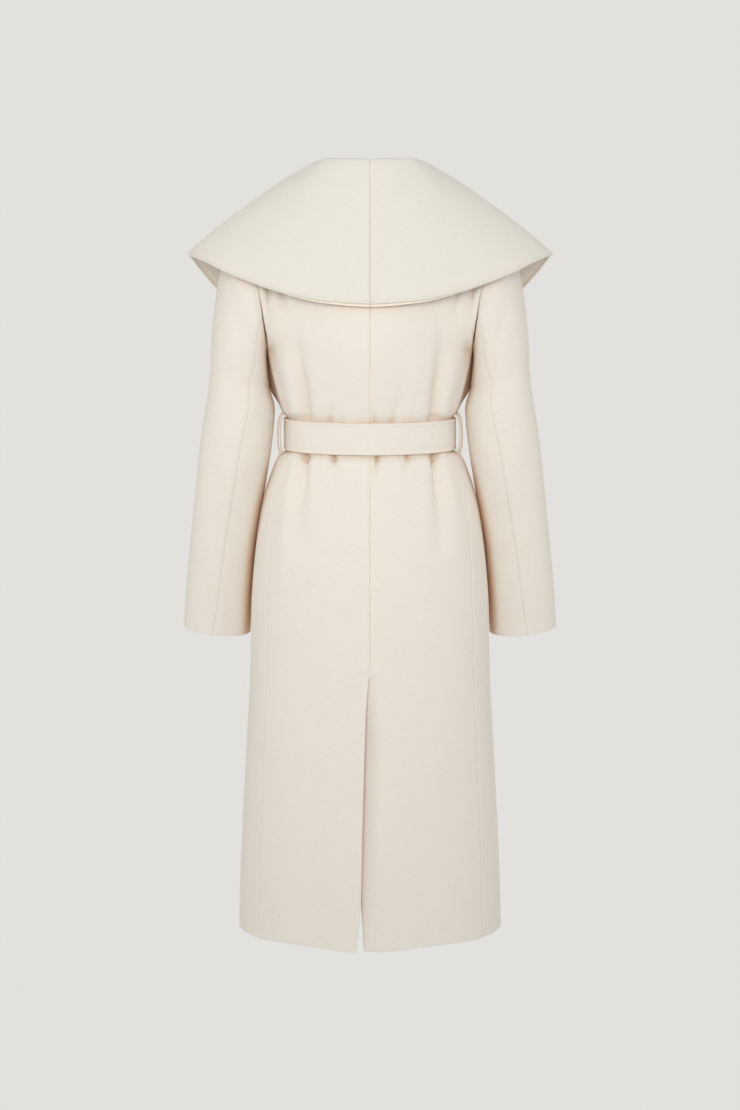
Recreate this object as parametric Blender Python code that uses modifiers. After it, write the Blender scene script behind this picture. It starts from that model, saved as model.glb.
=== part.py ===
"""Wrap coat with a cape-wide shawl collar, a tie belt and a centre-back vent, filled out as if worn.

Metres, +Z up. The origin is the centre of the wearer's neck at the height of the nape.
The coat's front faces -Y and the wearer's left is +X. Every panel is a wall of cloth: its
lining side is lofted through the sections below, and Solidify adds the wall outwards.
"""
import bpy
import math
import numpy as np
from collections import namedtuple
from mathutils import Vector

# ---------------------------------------------------------------- driving dimensions
WALL = 0.0020            # coating wool
SEAM_GAP = 0.0004        # between two pieces at a seam
HEM_Z = -1.148
UNDERARM_Z = -0.245
VENT_TOP_Z = -0.722
VENT_BAR_Z = -0.738      # lower end of the slanted bar across the vent's top
VENT_UNDERLAP = 0.046    # how far the right half reaches under the left one at the vent's top
NECK_HALF_WIDTH = 0.076
NECK_BACK = 0.060
NECK_RISE = 0.004
SHOULDER = Vector((0.187, -0.002, -0.050))
FRONT_LAYER = 0.0060     # how far the left front lies inside the right one where they cross
BELT_Z = -0.3765
BELT_HEIGHT = 0.0480
BELT_WALL = 0.0032
BELT_EASE = 0.0031       # the belt's inner face outside the body's lining side
COLLAR_WALL = 0.0020
COLLAR_END_Z = -0.336    # where the lapels run out, just above the belt
UNDER_COLLAR_DROP = 0.004
LOOP_ANGLE = 82.0
LOOP_WALL = 0.0024
LOOP_WIDTH = 0.010
# heights of a belt loop and its inner face's distance from the body's middle there
LOOP_BOW = [(-0.3385, 0.1392), (-0.3470, 0.1378), (-0.3600, 0.1385), (-0.3770, 0.1400),
            (-0.3930, 0.1402), (-0.4030, 0.1402), (-0.4150, 0.1440)]
BELT_END_DEG = 173.0          # the belt's ends meet behind the knot
KNOT_SIZE = (0.080, 0.042, 0.072)
KNOT_Y = -0.1145
TAIL_NECK = 0.030             # a tail's width where it leaves the knot
TAIL_OUT = 0.0055
TAIL_LEAN = 0.006
TAIL_HEIGHTS = [-0.4125, -0.430, -0.455, -0.490, -0.560, -0.640, -0.720]

# ---------------------------------------------------------------- sections
# The body's rings. half_width, back and front are half axes of the ring; seam_deg is where the
# side seam stands, in degrees from centre back; overlap is how far a front passes centre front.
Section = namedtuple("Section", "z half_width back front seam_deg overlap")
BODY = [
    Section(-1.160, 0.2045, 0.1560, 0.1130, 58.0, 0.075),
    Section(-1.060, 0.2010, 0.1525, 0.1130, 58.0, 0.072),
    Section(-0.953, 0.1955, 0.1480, 0.1140, 58.5, 0.069),
    Section(-0.850, 0.1895, 0.1440, 0.1150, 58.5, 0.066),
    Section(-0.728, 0.1828, 0.1385, 0.1160, 59.0, 0.063),
    Section(-0.640, 0.1808, 0.1345, 0.1155, 59.0, 0.060),
    Section(-0.569, 0.1755, 0.1290, 0.1135, 60.0, 0.057),
    Section(-0.507, 0.1675, 0.1215, 0.1095, 62.0, 0.054),
    Section(-0.472, 0.1605, 0.1140, 0.1060, 65.0, 0.051),
    Section(-0.439, 0.1500, 0.1050, 0.1010, 70.0, 0.049),
    Section(-0.411, 0.1375, 0.0950, 0.0950, 75.0, 0.047),
    Section(-0.402, 0.1250, 0.0880, 0.0915, 76.0, 0.046),
    Section(-0.351, 0.1250, 0.0880, 0.0915, 77.0, 0.040),
    Section(-0.340, 0.1330, 0.0925, 0.0960, 78.0, 0.036),
    Section(-0.311, 0.1405, 0.0990, 0.1070, 79.0, 0.026),
    Section(-0.272, 0.1495, 0.1060, 0.1150, 80.0, 0.012),
    Section(UNDERARM_Z, 0.1545, 0.1095, 0.1180, 80.0, 0.003),
]

# Folds of the body, left ones at positive angles from centre back. The trough wanders from
# angle_top to angle_low, is deepest at deep_z, and half_deg is its half width. A negative depth is
# a ridge; the last two are the fullness that bunches below each underarm.
Fold = namedtuple("Fold", "top_z deep_z low_z angle_top angle_low half_deg depth")
FOLDS = [
    Fold(-0.398, -0.408, -0.580, 48.0, 37.0, 5.0, 0.0055),
    Fold(-0.398, -0.408, -0.580, -48.0, -35.5, 5.0, 0.0055),
    Fold(-0.160, -0.335, -0.352, 39.0, 48.0, 6.0, 0.0050),
    Fold(-0.175, -0.335, -0.352, -42.0, -49.0, 6.0, 0.0050),
    Fold(-0.398, -0.406, -0.450, 25.0, 24.0, 3.5, 0.0030),
    Fold(-0.398, -0.406, -0.445, -4.0, -4.0, 3.5, 0.0025),
    Fold(-0.398, -0.406, -0.450, -29.0, -28.0, 3.5, 0.0030),
    Fold(-0.398, -0.410, -0.560, 128.0, 138.0, 6.0, 0.0050),
    Fold(-0.398, -0.410, -0.560, -124.0, -136.0, 6.0, 0.0050),
    Fold(-0.280, -0.335, -0.352, 134.0, 126.0, 6.0, 0.0040),
    Fold(-0.280, -0.335, -0.352, -136.0, -127.0, 6.0, 0.0040),
    Fold(-0.205, -0.298, -0.352, 107.0, 107.0, 12.0, -0.0190),
    Fold(-0.205, -0.298, -0.352, -107.0, -107.0, 12.0, -0.0190),
]

# The vent's two edges, as distances to the wearer's left of centre back. flap is the edge of the
# left half, which lies on top; underlap is the edge of the right half beneath it.
Vent = namedtuple("Vent", "z flap underlap")
VENT = [
    Vent(VENT_TOP_Z, 0.0002, VENT_UNDERLAP),
    Vent(-0.850, 0.0055, 0.0350),
    Vent(-1.000, 0.0108, 0.0210),
    Vent(-1.078, 0.0140, 0.0138),
    Vent(-1.160, 0.0222, 0.0088),
]

# Rings of the left sleeve below the armhole. inner_x faces the body; slope_x and slope_y tilt
# the ring so that it stays across the arm.
Ring = namedtuple("Ring", "z inner_x outer_x y half_depth slope_x slope_y")
SLEEVE = [
    Ring(-0.290, 0.1555, 0.2400, 0.002, 0.0540, 0.35, 0.00),
    Ring(-0.330, 0.1468, 0.2455, 0.004, 0.0520, 0.20, 0.00),
    Ring(-0.382, 0.1510, 0.2552, 0.003, 0.0500, 0.12, -0.03),
    Ring(-0.440, 0.1600, 0.2625, -0.002, 0.0480, 0.10, -0.08),
    Ring(-0.500, 0.1705, 0.2695, -0.010, 0.0460, 0.10, -0.10),
    Ring(-0.550, 0.1785, 0.2755, -0.017, 0.0450, 0.10, -0.10),
    Ring(-0.619, 0.1842, 0.2830, -0.027, 0.0430, 0.10, -0.10),
    Ring(-0.6855, 0.1885, 0.2885, -0.037, 0.0415, 0.10, -0.10),
]
ELBOW_SEAM = [(-0.205, 54.0), (-0.285, 67.0), (-0.333, 74.0), (-0.411, 81.0), (-0.511, 83.5), (-0.613, 88.0),
              (-0.690, 95.0)]
FOREARM_SEAM_DEG = -35.0
CAP_FALL = 0.19          # real height per step of h above the first ring

# The left collar. seam_at runs 0 to 1 along the back neckline and on to 2 down the front edge;
# rise leads from the seam to the crest of the roll, edge is the outer edge, and puff lifts the fall.
# The first row mirrors the third one, so that the collar runs level through centre back.
Station = namedtuple("Station", "seam_at rise edge puff")
COLLAR = [
    Station(-0.30, (-0.004, 0.008, 0.0325), (-0.071, 0.116, -0.170), 0.008),
    Station(0.00, (0.000, 0.008, 0.0315), (0.000, 0.121, -0.1745), 0.008),
    Station(0.30, (0.004, 0.008, 0.0325), (0.071, 0.116, -0.170), 0.008),
    Station(0.55, (0.006, 0.008, 0.0325), (0.143, 0.098, -0.154), 0.012),
    Station(0.78, (0.007, 0.006, 0.0280), (0.207, 0.069, -0.133), 0.017),
    Station(0.95, (0.010, 0.002, 0.0230), (0.252, 0.032, -0.1135), 0.019),
    Station(1.06, (0.014, -0.006, 0.017), (0.2755, -0.006, -0.106), 0.020),
    Station(1.20, (0.017, -0.014, 0.013), (0.264, -0.048, -0.126), 0.021),
    Station(1.38, (0.014, -0.018, 0.010), (0.236, -0.081, -0.162), 0.019),
    Station(1.56, (0.009, -0.016, 0.006), (0.185, -0.108, -0.212), 0.015),
    Station(1.74, (0.006, -0.013, 0.003), (0.131, -0.126, -0.262), 0.010),
]
RIGHT_LAPEL = [
    Station(1.88, (0.004, -0.010, 0.002), (0.073, -0.130, -0.302), 0.006),
    Station(2.00, (0.003, -0.006, 0.001), (-0.012, -0.112, -0.332), 0.002),
]
LEFT_LAPEL = [
    Station(1.84, (0.004, -0.006, 0.001), (0.096, -0.126, -0.292), 0.004),
    Station(1.93, (0.003, -0.005, 0.001), (0.056, -0.118, -0.318), 0.002),
]
LEFT_LAPEL_TUCK = 0.012       # the left lapel stops this far outside the right front's edge

WOOL = (0.78, 0.72, 0.64)
COLLAR_WOOL = (0.80, 0.76, 0.67)


# ---------------------------------------------------------------- small mathematics
def smooth_through(xs, ys, x):
    """Monotone cubic through the points, so a section table never overshoots."""
    xs = np.asarray(xs, float)
    ys = np.asarray(ys, float)
    if xs[0] > xs[-1]:
        xs, ys = xs[::-1], ys[::-1]
    x = min(max(x, xs[0]), xs[-1])
    step = np.diff(xs)
    slope = np.diff(ys) / step
    tangent = np.empty(len(xs))
    tangent[0], tangent[-1] = slope[0], slope[-1]
    for k in range(1, len(xs) - 1):
        if slope[k - 1] * slope[k] <= 0:
            tangent[k] = 0.0
        else:
            tangent[k] = 2.0 * slope[k - 1] * slope[k] / (slope[k - 1] + slope[k])
    k = min(max(int(np.searchsorted(xs, x)) - 1, 0), len(step) - 1)
    t = (x - xs[k]) / step[k]
    bend = step[k] * ((1 - t) ** 2 * t * tangent[k] - t ** 2 * (1 - t) * tangent[k + 1])
    return float(ys[k] * (1 + 2 * t) * (1 - t) ** 2 + ys[k + 1] * t ** 2 * (3 - 2 * t) + bend)


def column(rows, key, name, at):
    return smooth_through([getattr(r, key) for r in rows], [getattr(r, name) for r in rows], at)


def ease(t):
    t = min(max(t, 0.0), 1.0)
    return t * t * (3.0 - 2.0 * t)


def bezier(p0, p1, p2, p3, t):
    u = 1.0 - t
    return p0 * u ** 3 + p1 * (3 * u * u * t) + p2 * (3 * u * t * t) + p3 * t ** 3


def sway(side, p):
    """A point of the left side, or its mirror image on the right one."""
    return Vector((side * p.x, p.y, p.z))


# ---------------------------------------------------------------- the body's form
def fold_depth(z, angle):
    total = 0.0
    for f in FOLDS:
        if not f.low_z < z < f.top_z:
            continue
        along = (f.top_z - z) / (f.top_z - f.low_z)
        centre = f.angle_top + (f.angle_low - f.angle_top) * along
        reach = f.top_z - f.deep_z if z > f.deep_z else f.deep_z - f.low_z
        strength = ease(1.0 - abs(z - f.deep_z) / reach)
        total += f.depth * strength * math.exp(-((angle - centre) / f.half_deg) ** 2)
    return total


def body(z, angle, out=0.0, side=1):
    """Lining side of the body at a height, at an angle in degrees from centre back."""
    a = math.radians(angle)
    half = column(BODY, "z", "half_width", z)
    depth = column(BODY, "z", "back" if math.cos(a) > 0 else "front", z)
    p = Vector((half * math.sin(a), depth * math.cos(a), z))
    normal = Vector((math.sin(a) / half, math.cos(a) / depth, 0.0)).normalized()
    signed = side * ((angle + 180.0) % 360.0 - 180.0)
    return sway(side, p + normal * (out - fold_depth(z, signed)))


def angle_at_x(z, x):
    return math.degrees(math.asin(min(max(x / column(BODY, "z", "half_width", z), -1.0), 1.0)))


def armhole(t, face):
    """The armhole of the left side from the underarm (0) to the shoulder (1); face +1 back, -1 front."""
    low = body(UNDERARM_Z, column(BODY, "z", "seam_deg", UNDERARM_Z))
    reach_low = Vector((0.004, 0.085 * face, 0.028))
    reach_top = Vector((-0.016, 0.072 * face, -0.045))
    return bezier(low, low + reach_low, SHOULDER + reach_top, SHOULDER, t)


def neckline(q):
    """Back neckline of the left half, from centre back (0) to the shoulder seam (1)."""
    a = math.radians(90.0 * q)
    return Vector((NECK_HALF_WIDTH * math.sin(a), NECK_BACK * math.cos(a), NECK_RISE * q * q))


def yoke(low, top, s, face):
    """Control points of the column that carries the body from the underarm ring to the top."""
    hip = s ** 3
    rise = Vector((0.0, face * (0.010 + 0.075 * hip), 0.100 - 0.072 * hip))
    round_over = Vector((0.0, face * (0.030 + 0.016 * s), -0.030 - 0.006 * s))
    return low, low + rise, top + round_over, top


def back(s, h, side):
    """Back half panel: s from centre back (0) to the side (1), h the height up to the nape (0)."""
    gap = SEAM_GAP / 2
    shoulder_start = 0.42
    if h <= UNDERARM_Z:
        seam = column(BODY, "z", "seam_deg", h) - math.degrees(gap / 0.15)
        first = angle_at_x(h, back_edge(h, side))
        return body(h, first + (seam - first) * s, back_layer(h, first + (seam - first) * s, side), side)
    t = (h - UNDERARM_Z) / -UNDERARM_Z
    if s < shoulder_start:
        top = neckline(s / shoulder_start)
    else:
        top = neckline(1.0).lerp(SHOULDER, (s - shoulder_start) / (1 - shoulder_start))
        top = top + Vector((0.0, gap, 0.0))
    if s >= 1.0:
        return sway(side, armhole(t, 1.0) + Vector((-gap, gap * (1 - t), 0.0)))
    low = body(UNDERARM_Z, column(BODY, "z", "seam_deg", UNDERARM_Z) * s)
    p = bezier(*yoke(low, top, s, 1.0), t)
    trough = fold_depth(p.z, side * math.degrees(math.atan2(p.x, p.y * 1.4)))
    p = p + Vector((0.0, -trough, 0.0))
    p.x += gap * (1 - s)
    return sway(side, p)


def back_edge(h, side):
    """Where a back half begins, to the wearer's left of centre back for side 1 and right for -1."""
    if h > VENT_TOP_Z:
        return SEAM_GAP / 2
    return column(VENT, "z", "flap", h) if side > 0 else SEAM_GAP / 2


def back_layer(h, angle, side):
    """The right half dips under the left half's flap beside the vent."""
    if side > 0 or h > VENT_TOP_Z:
        return 0.0
    dip_width = 6.0
    start = ease((VENT_TOP_Z - h) / (VENT_TOP_Z - VENT_BAR_Z))
    return -0.0030 * start * ease(1.0 - angle / dip_width)


def front(s, h, side):
    """Front panel: s from the side seam (0) to the front edge (1)."""
    gap = SEAM_GAP / 2
    ring = min(h, UNDERARM_Z)
    seam = column(BODY, "z", "seam_deg", ring) + math.degrees(gap / 0.15)
    edge = 180.0 + angle_at_x(ring, column(BODY, "z", "overlap", ring))
    angle = seam + (edge - seam) * s
    low = body(ring, angle, front_layer(ring, angle, side), side)
    if h <= UNDERARM_Z:
        return low
    t = (h - UNDERARM_Z) / -UNDERARM_Z
    if s <= 0.0:
        return sway(side, armhole(t, -1.0) + Vector((-gap, -gap * (1 - t), 0.0)))
    top = SHOULDER.lerp(neckline(1.0), s) + Vector((0.0, -gap, 0.0))
    low = sway(side, low)
    chest = bezier(*yoke(low, top, 1.0 - s, -1.0), t)
    return sway(side, chest)


def front_layer(h, angle, side):
    """The left front lies inside the right one wherever the right one covers it."""
    if side < 0:
        return 0.0
    covered = 180.0 - angle_at_x(h, column(BODY, "z", "overlap", h))
    return -FRONT_LAYER * ease((angle - covered + 16.0) / 14.0)


# ---------------------------------------------------------------- sleeves
def sleeve(angle, h):
    """Left sleeve: angle 0 faces the body, 90 the back; h falls from 1 at the armhole to -0.69."""
    a = math.radians(angle)
    top_ring = SLEEVE[0]
    if h <= top_ring.z:
        return sleeve_ring(a, h)
    t = (top_ring.z - h) / (top_ring.z - 1.0)
    way = (angle % 360.0) / 180.0
    hole = armhole(way, 1.0) if way <= 1.0 else armhole(2.0 - way, -1.0)
    body_side = Vector((math.cos(a / 2) ** 2, math.sin(a), 0.5 * math.sin(a / 2) ** 2)).normalized()
    tube_side = Vector((-0.75 * math.cos(a), math.sin(a), -0.65 * math.cos(a))).normalized()
    under = math.cos(a / 2) ** 2
    clear = SEAM_GAP * 1.6 + 0.0030 * under
    start = hole + (body_side - tube_side) * WALL * under + Vector((clear, 0.0, 0.0))
    end = sleeve_ring(a, top_ring.z)
    crown = math.sin(a / 2) ** 2
    leave = Vector((0.006 + 0.024 * crown, 0.012 * math.sin(a), -0.010 - 0.004 * crown))
    arrive = Vector((0.0, 0.004 * math.sin(a), 0.010 + 0.080 * crown))
    return bezier(end, end + arrive, start + leave, start, t)


def sleeve_ring(a, z):
    inner = column(SLEEVE, "z", "inner_x", z)
    outer = column(SLEEVE, "z", "outer_x", z)
    dx = -0.5 * (outer - inner) * math.cos(a)
    dy = column(SLEEVE, "z", "half_depth", z) * math.sin(a)
    dz = column(SLEEVE, "z", "slope_x", z) * dx + column(SLEEVE, "z", "slope_y", z) * dy
    return Vector((0.5 * (inner + outer) + dx, column(SLEEVE, "z", "y", z) + dy, z + dz))


# ---------------------------------------------------------------- collar
def collar_seam(at, side):
    """Just clear of the neckline and of the front edge, which the collar is sewn to."""
    if at <= 1.0:
        p = neckline(at)
        return p + Vector((-0.0034 * at, 0.0, 0.0031 + 0.0014 * at))
    h = (at - 1.0) * COLLAR_END_Z
    p = sway(side, front(1.0, h, side))
    down = ease((at - 1.0) * 3)
    p = p + Vector((-0.0034, -0.0045 * down, 0.0045 * (1 - down)))
    tuck = column(BODY, "z", "overlap", min(h, UNDERARM_Z)) + LEFT_LAPEL_TUCK
    if side > 0 and at > 1.5 and p.x < tuck:
        chest = body(min(h, UNDERARM_Z), 180.0 - angle_at_x(h, tuck), 0.004)
        p = Vector((tuck, chest.y, h))
    return p


def station(at, side):
    """Seam, roll and edge of the collar between its stations."""
    rows = COLLAR + (LEFT_LAPEL if side > 0 else RIGHT_LAPEL)
    keys = [r.seam_at for r in rows]
    rise = Vector([smooth_through(keys, [r.rise[i] for r in rows], at) for i in range(3)])
    edge = Vector([smooth_through(keys, [r.edge[i] for r in rows], at) for i in range(3)])
    puff = smooth_through(keys, [r.puff for r in rows], at)
    seam = collar_seam(at, side)
    return seam, seam + rise, edge, puff


def collar(at, t, side):
    """The collar's middle surface: t 0 at the seam, 0.3 at the roll's crest, 1 at the outer edge."""
    seam, roll, edge, puff = station(at, side)
    fall = edge - roll
    outward = Vector((fall.x, fall.y, 0.35 * fall.z)).normalized()
    crest = min(0.011, 0.30 * fall.length)
    stand_end = 0.3
    if t <= stand_end:
        stand = roll - seam
        return sway(side, bezier(seam, seam + stand * 0.55, roll - outward * crest, roll, t / stand_end))
    lift = Vector((-fall.y, fall.x, 0.0)).cross(fall).normalized()
    if lift.z < 0:
        lift = -lift
    middle = roll.lerp(edge, 0.50) + lift * puff
    point = bezier(roll, roll + outward * crest, middle, edge, (t - stand_end) / (1 - stand_end))
    return sway(side, point)


# ---------------------------------------------------------------- making solids
def material(name, colour, roughness=0.9):
    mat = bpy.data.materials.new(name)
    mat.use_nodes = True
    shader = mat.node_tree.nodes["Principled BSDF"]
    shader.inputs["Base Color"].default_value = (*colour, 1.0)
    shader.inputs["Roughness"].default_value = roughness
    shader.inputs["Metallic"].default_value = 0.0
    return mat


def spread(first, last, count):
    return [first + (last - first) * k / (count - 1) for k in range(count)]


def panel(name, grid, colour, wall, direction, outside, present=None):
    """A wall on an open grid of points. outside is a point that the wall's outer face looks towards."""
    rows, cols = len(grid), len(grid[0])
    used = {}
    verts, faces = [], []
    for i in range(rows - 1):
        for j in range(cols - 1):
            if present and not present(i, j):
                continue
            corner = []
            for key in ((i, j), (i, j + 1), (i + 1, j + 1), (i + 1, j)):
                if key not in used:
                    used[key] = len(verts)
                    verts.append(grid[key[0]][key[1]])
                corner.append(used[key])
            faces.append(corner)
    mesh = bpy.data.meshes.new(name)
    mesh.from_pydata([tuple(v) for v in verts], [], faces)
    middle = mesh.polygons[0]
    if not present:
        middle = mesh.polygons[((rows - 1) // 2) * (cols - 1) + (cols - 1) // 2]
    if middle.normal.dot(outside(middle.center)) < 0:
        mesh.flip_normals()
    mesh.shade_smooth()
    obj = bpy.data.objects.new(name, mesh)
    coat.objects.link(obj)
    obj.data.materials.append(material(name + "_cloth", colour))
    solid = obj.modifiers.new("wall", "SOLIDIFY")
    solid.thickness = wall
    solid.offset = direction
    return obj


def away_from_axis(p):
    return Vector((p.x, p.y, 0.0))


HEIGHTS_SKIRT = [-1.05, -0.93, -0.82, VENT_BAR_Z, VENT_TOP_Z, -0.66, -0.60, -0.545, -0.50, -0.465, -0.435,
                 -0.411, -0.402, -0.377, -0.351, -0.340, -0.308, -0.275, UNDERARM_Z]
HEIGHTS_YOKE = [-0.205, -0.165, -0.125, -0.085, -0.050, -0.022, 0.0]


def hem_height(s):
    """The hem lifts a little between the vent and the sides."""
    return HEM_Z + 0.004 * math.sin(math.pi * s) ** 2


def make_backs():
    columns = spread(0.0, 1.0, 11)
    heights = HEIGHTS_SKIRT + HEIGHTS_YOKE
    for side, name in ((1, "back_left"), (-1, "back_right")):
        grid = [[back(s, hem_height(s), side) for s in columns]]
        grid += [[back(s, h, side) for s in columns] for h in heights]
        if side > 0:
            panel(name, grid, WOOL, WALL, 1.0, away_from_axis)
            continue
        levels = [hem_height(0.0)] + heights
        under = [[underlap(k, h) for k in (3, 2, 1)] for h in levels]
        grid = [extra + row for extra, row in zip(under, grid)]
        top_row = levels.index(VENT_BAR_Z)
        panel(name, grid, WOOL, WALL, 1.0, away_from_axis, lambda i, j: j >= 3 or i < top_row)


def underlap(k, h):
    """A point of the right half's underlap, k thirds of the way to its edge under the left flap."""
    z = min(h, VENT_TOP_Z)
    x = column(VENT, "z", "underlap", z) * k / 3
    return body(h, angle_at_x(h, x), -0.0030)


def make_fronts():
    columns = spread(0.0, 1.0, 12)
    heights = [HEM_Z - 0.004] + HEIGHTS_SKIRT + HEIGHTS_YOKE
    for side, name in ((1, "front_left"), (-1, "front_right")):
        grid = [[front(s, h, side) for s in columns] for h in heights]
        panel(name, grid, WOOL, WALL, 1.0, away_from_axis)


def make_sleeves():
    cap = [1.0, 0.72, 0.45, 0.18, -0.08]
    heights = cap + [-0.290, -0.335, -0.385, -0.440, -0.500, -0.580, -0.6855]
    for side, end in ((1, "left"), (-1, "right")):
        for piece, count in (("upper", 12), ("under", 7)):
            grid = []
            for h in heights:
                z = min(h, SLEEVE[0].z + CAP_FALL * (h - SLEEVE[0].z))
                keys, angles = zip(*ELBOW_SEAM)
                elbow = smooth_through(keys, angles, z)
                first, last = FOREARM_SEAM_DEG, elbow
                if piece == "upper":
                    first, last = elbow, 360.0 + FOREARM_SEAM_DEG
                trim = math.degrees(SEAM_GAP / 2 / 0.048)
                grid.append([sway(side, sleeve(a, h)) for a in spread(first + trim, last - trim, count)])
            towards = Vector((side * 1.0, 0.0, 0.0)) if piece == "upper" else Vector((-side * 1.0, 0.4, 0.0))
            panel(f"sleeve_{piece}_{end}", grid, WOOL, WALL, 1.0, lambda p, d=towards: d)


def make_collars():
    along = spread(0.0, 0.96, 8) + [1.06, 1.15, 1.25, 1.36, 1.48, 1.60]
    across = [0.0, 0.14, 0.24, 0.31, 0.40, 0.55, 0.77, 1.0]
    for side, end in ((1, "left"), (-1, "right")):
        last = (LEFT_LAPEL if side > 0 else RIGHT_LAPEL)[-1].seam_at
        ends = spread(1.70, last, 4)
        for layer, direction in (("upper", 1.0), ("under", -1.0)):
            grid = []
            for at in along + ends:
                row = [collar(at, t, side) for t in across]
                if layer == "under":
                    drop = (row[-1] - row[-2]).normalized()
                    row[-1] = row[-1] + drop * UNDER_COLLAR_DROP * math.exp(-(at / 0.5) ** 2)
                grid.append(row)
            grid[0] = [Vector((side * SEAM_GAP / 2, p.y, p.z)) for p in grid[0]]
            facing = apart(grid, direction * SEAM_GAP * 0.4, side)
            panel(f"collar_{layer}_{end}", grid, COLLAR_WOOL, COLLAR_WALL, direction, lambda p, n=facing: n)


def apart(grid, distance, side):
    """Moves a grid off the collar's middle surface, so that its two layers stay apart.

    Returns the way that its middle face looks.
    """
    rows, cols = len(grid), len(grid[0])
    moved = []
    for i in range(rows):
        line = []
        for j in range(cols):
            along = grid[min(i + 1, rows - 1)][j] - grid[max(i - 1, 0)][j]
            across = grid[i][min(j + 1, cols - 1)] - grid[i][max(j - 1, 0)]
            normal = (along.cross(across) * side).normalized()
            line.append(grid[i][j] + normal * distance)
        moved.append(line)
    grid[:] = moved
    i, j = (rows - 1) // 2, (cols - 1) // 2
    return (grid[i + 1][j] - grid[i][j]).cross(grid[i][j + 1] - grid[i][j]) * side


# ---------------------------------------------------------------- belt
def make_belt():
    angles = spread(-BELT_END_DEG, BELT_END_DEG, 43)
    around = [body(BELT_Z, a, BELT_EASE) for a in angles]
    half = BELT_HEIGHT / 2
    grid = [[Vector((p.x, p.y, BELT_Z + up)) for p in around] for up in (-half, half)]
    panel("belt", grid, WOOL, BELT_WALL, 1.0, away_from_axis)


def make_knot():
    bpy.ops.mesh.primitive_cube_add(size=1.0, location=(0.0, KNOT_Y, BELT_Z))
    knot = bpy.context.object
    knot.name = "belt_knot"
    knot.data.name = "belt_knot"
    for old_home in list(knot.users_collection):
        old_home.objects.unlink(knot)
    coat.objects.link(knot)
    for v in knot.data.vertices:
        v.co = Vector((v.co.x * KNOT_SIZE[0], v.co.y * KNOT_SIZE[1], v.co.z * KNOT_SIZE[2]))
    soft = knot.modifiers.new("soft", "SUBSURF")
    soft.levels = 2
    soft.render_levels = 2
    knot.data.shade_smooth()
    knot.data.materials.append(material("belt_knot_cloth", WOOL))


def make_tails():
    """The belt's two ends hang from the knot and lie on the skirt's front."""
    for side, end in ((1, "left"), (-1, "right")):
        grid = []
        for k, z in enumerate(TAIL_HEIGHTS):
            fall = (TAIL_HEIGHTS[0] - z) / (TAIL_HEIGHTS[0] - TAIL_HEIGHTS[-1])
            width = TAIL_NECK + (BELT_HEIGHT - TAIL_NECK) * ease(fall * 3)
            middle = side * (0.0175 + 0.026 * ease(fall * 2)) + TAIL_LEAN * fall
            row = []
            for across in (-0.5, 0.0, 0.5):
                x = middle + across * width
                on_skirt = body(z, 180.0 - angle_at_x(z, x), TAIL_OUT)
                row.append(Vector((x, min(on_skirt.y, KNOT_Y + 0.10 * fall + 0.002), z)))
            grid.append(row)
        panel(f"belt_tail_{end}", grid, WOOL, BELT_WALL, 1.0, away_from_axis)


def make_loops():
    waist = column(BODY, "z", "half_width", BELT_Z)
    for side, end in ((1, "left"), (-1, "right")):
        grid = []
        for z, out in LOOP_BOW:
            p = body(BELT_Z, LOOP_ANGLE, out - waist, side)
            grid.append([Vector((p.x, p.y + dy, z)) for dy in (-LOOP_WIDTH / 2, LOOP_WIDTH / 2)])
        panel(f"belt_loop_{end}", grid, WOOL, LOOP_WALL, 1.0, away_from_axis)


def main():
    make_backs()
    make_fronts()
    make_sleeves()
    make_collars()
    make_belt()
    make_loops()
    make_knot()
    make_tails()


for old in list(bpy.data.objects):
    bpy.data.objects.remove(old, do_unlink=True)
coat = bpy.data.collections.new("wrap_coat")
bpy.context.scene.collection.children.link(coat)
main()
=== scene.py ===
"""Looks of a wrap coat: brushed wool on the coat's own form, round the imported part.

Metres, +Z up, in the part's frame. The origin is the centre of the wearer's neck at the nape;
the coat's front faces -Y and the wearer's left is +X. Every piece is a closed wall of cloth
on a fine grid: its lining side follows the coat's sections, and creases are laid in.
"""

import math
from collections import namedtuple

import bpy
import numpy as np
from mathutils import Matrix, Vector


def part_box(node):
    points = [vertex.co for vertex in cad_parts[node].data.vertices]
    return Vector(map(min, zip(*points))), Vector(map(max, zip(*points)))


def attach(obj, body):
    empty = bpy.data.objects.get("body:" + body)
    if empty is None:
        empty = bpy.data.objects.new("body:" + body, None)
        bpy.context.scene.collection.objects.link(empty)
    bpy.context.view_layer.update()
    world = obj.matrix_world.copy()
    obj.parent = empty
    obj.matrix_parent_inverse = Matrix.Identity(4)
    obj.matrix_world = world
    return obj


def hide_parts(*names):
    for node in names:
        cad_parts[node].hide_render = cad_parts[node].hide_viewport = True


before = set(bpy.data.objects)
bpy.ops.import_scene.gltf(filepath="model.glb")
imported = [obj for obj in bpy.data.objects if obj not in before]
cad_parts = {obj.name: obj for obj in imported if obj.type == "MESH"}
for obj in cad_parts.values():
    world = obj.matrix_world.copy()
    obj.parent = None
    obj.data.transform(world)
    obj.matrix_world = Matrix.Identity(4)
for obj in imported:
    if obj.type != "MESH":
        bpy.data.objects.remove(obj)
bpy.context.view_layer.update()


def table(kind, rows):
    return [kind(*row) for row in rows]


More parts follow.
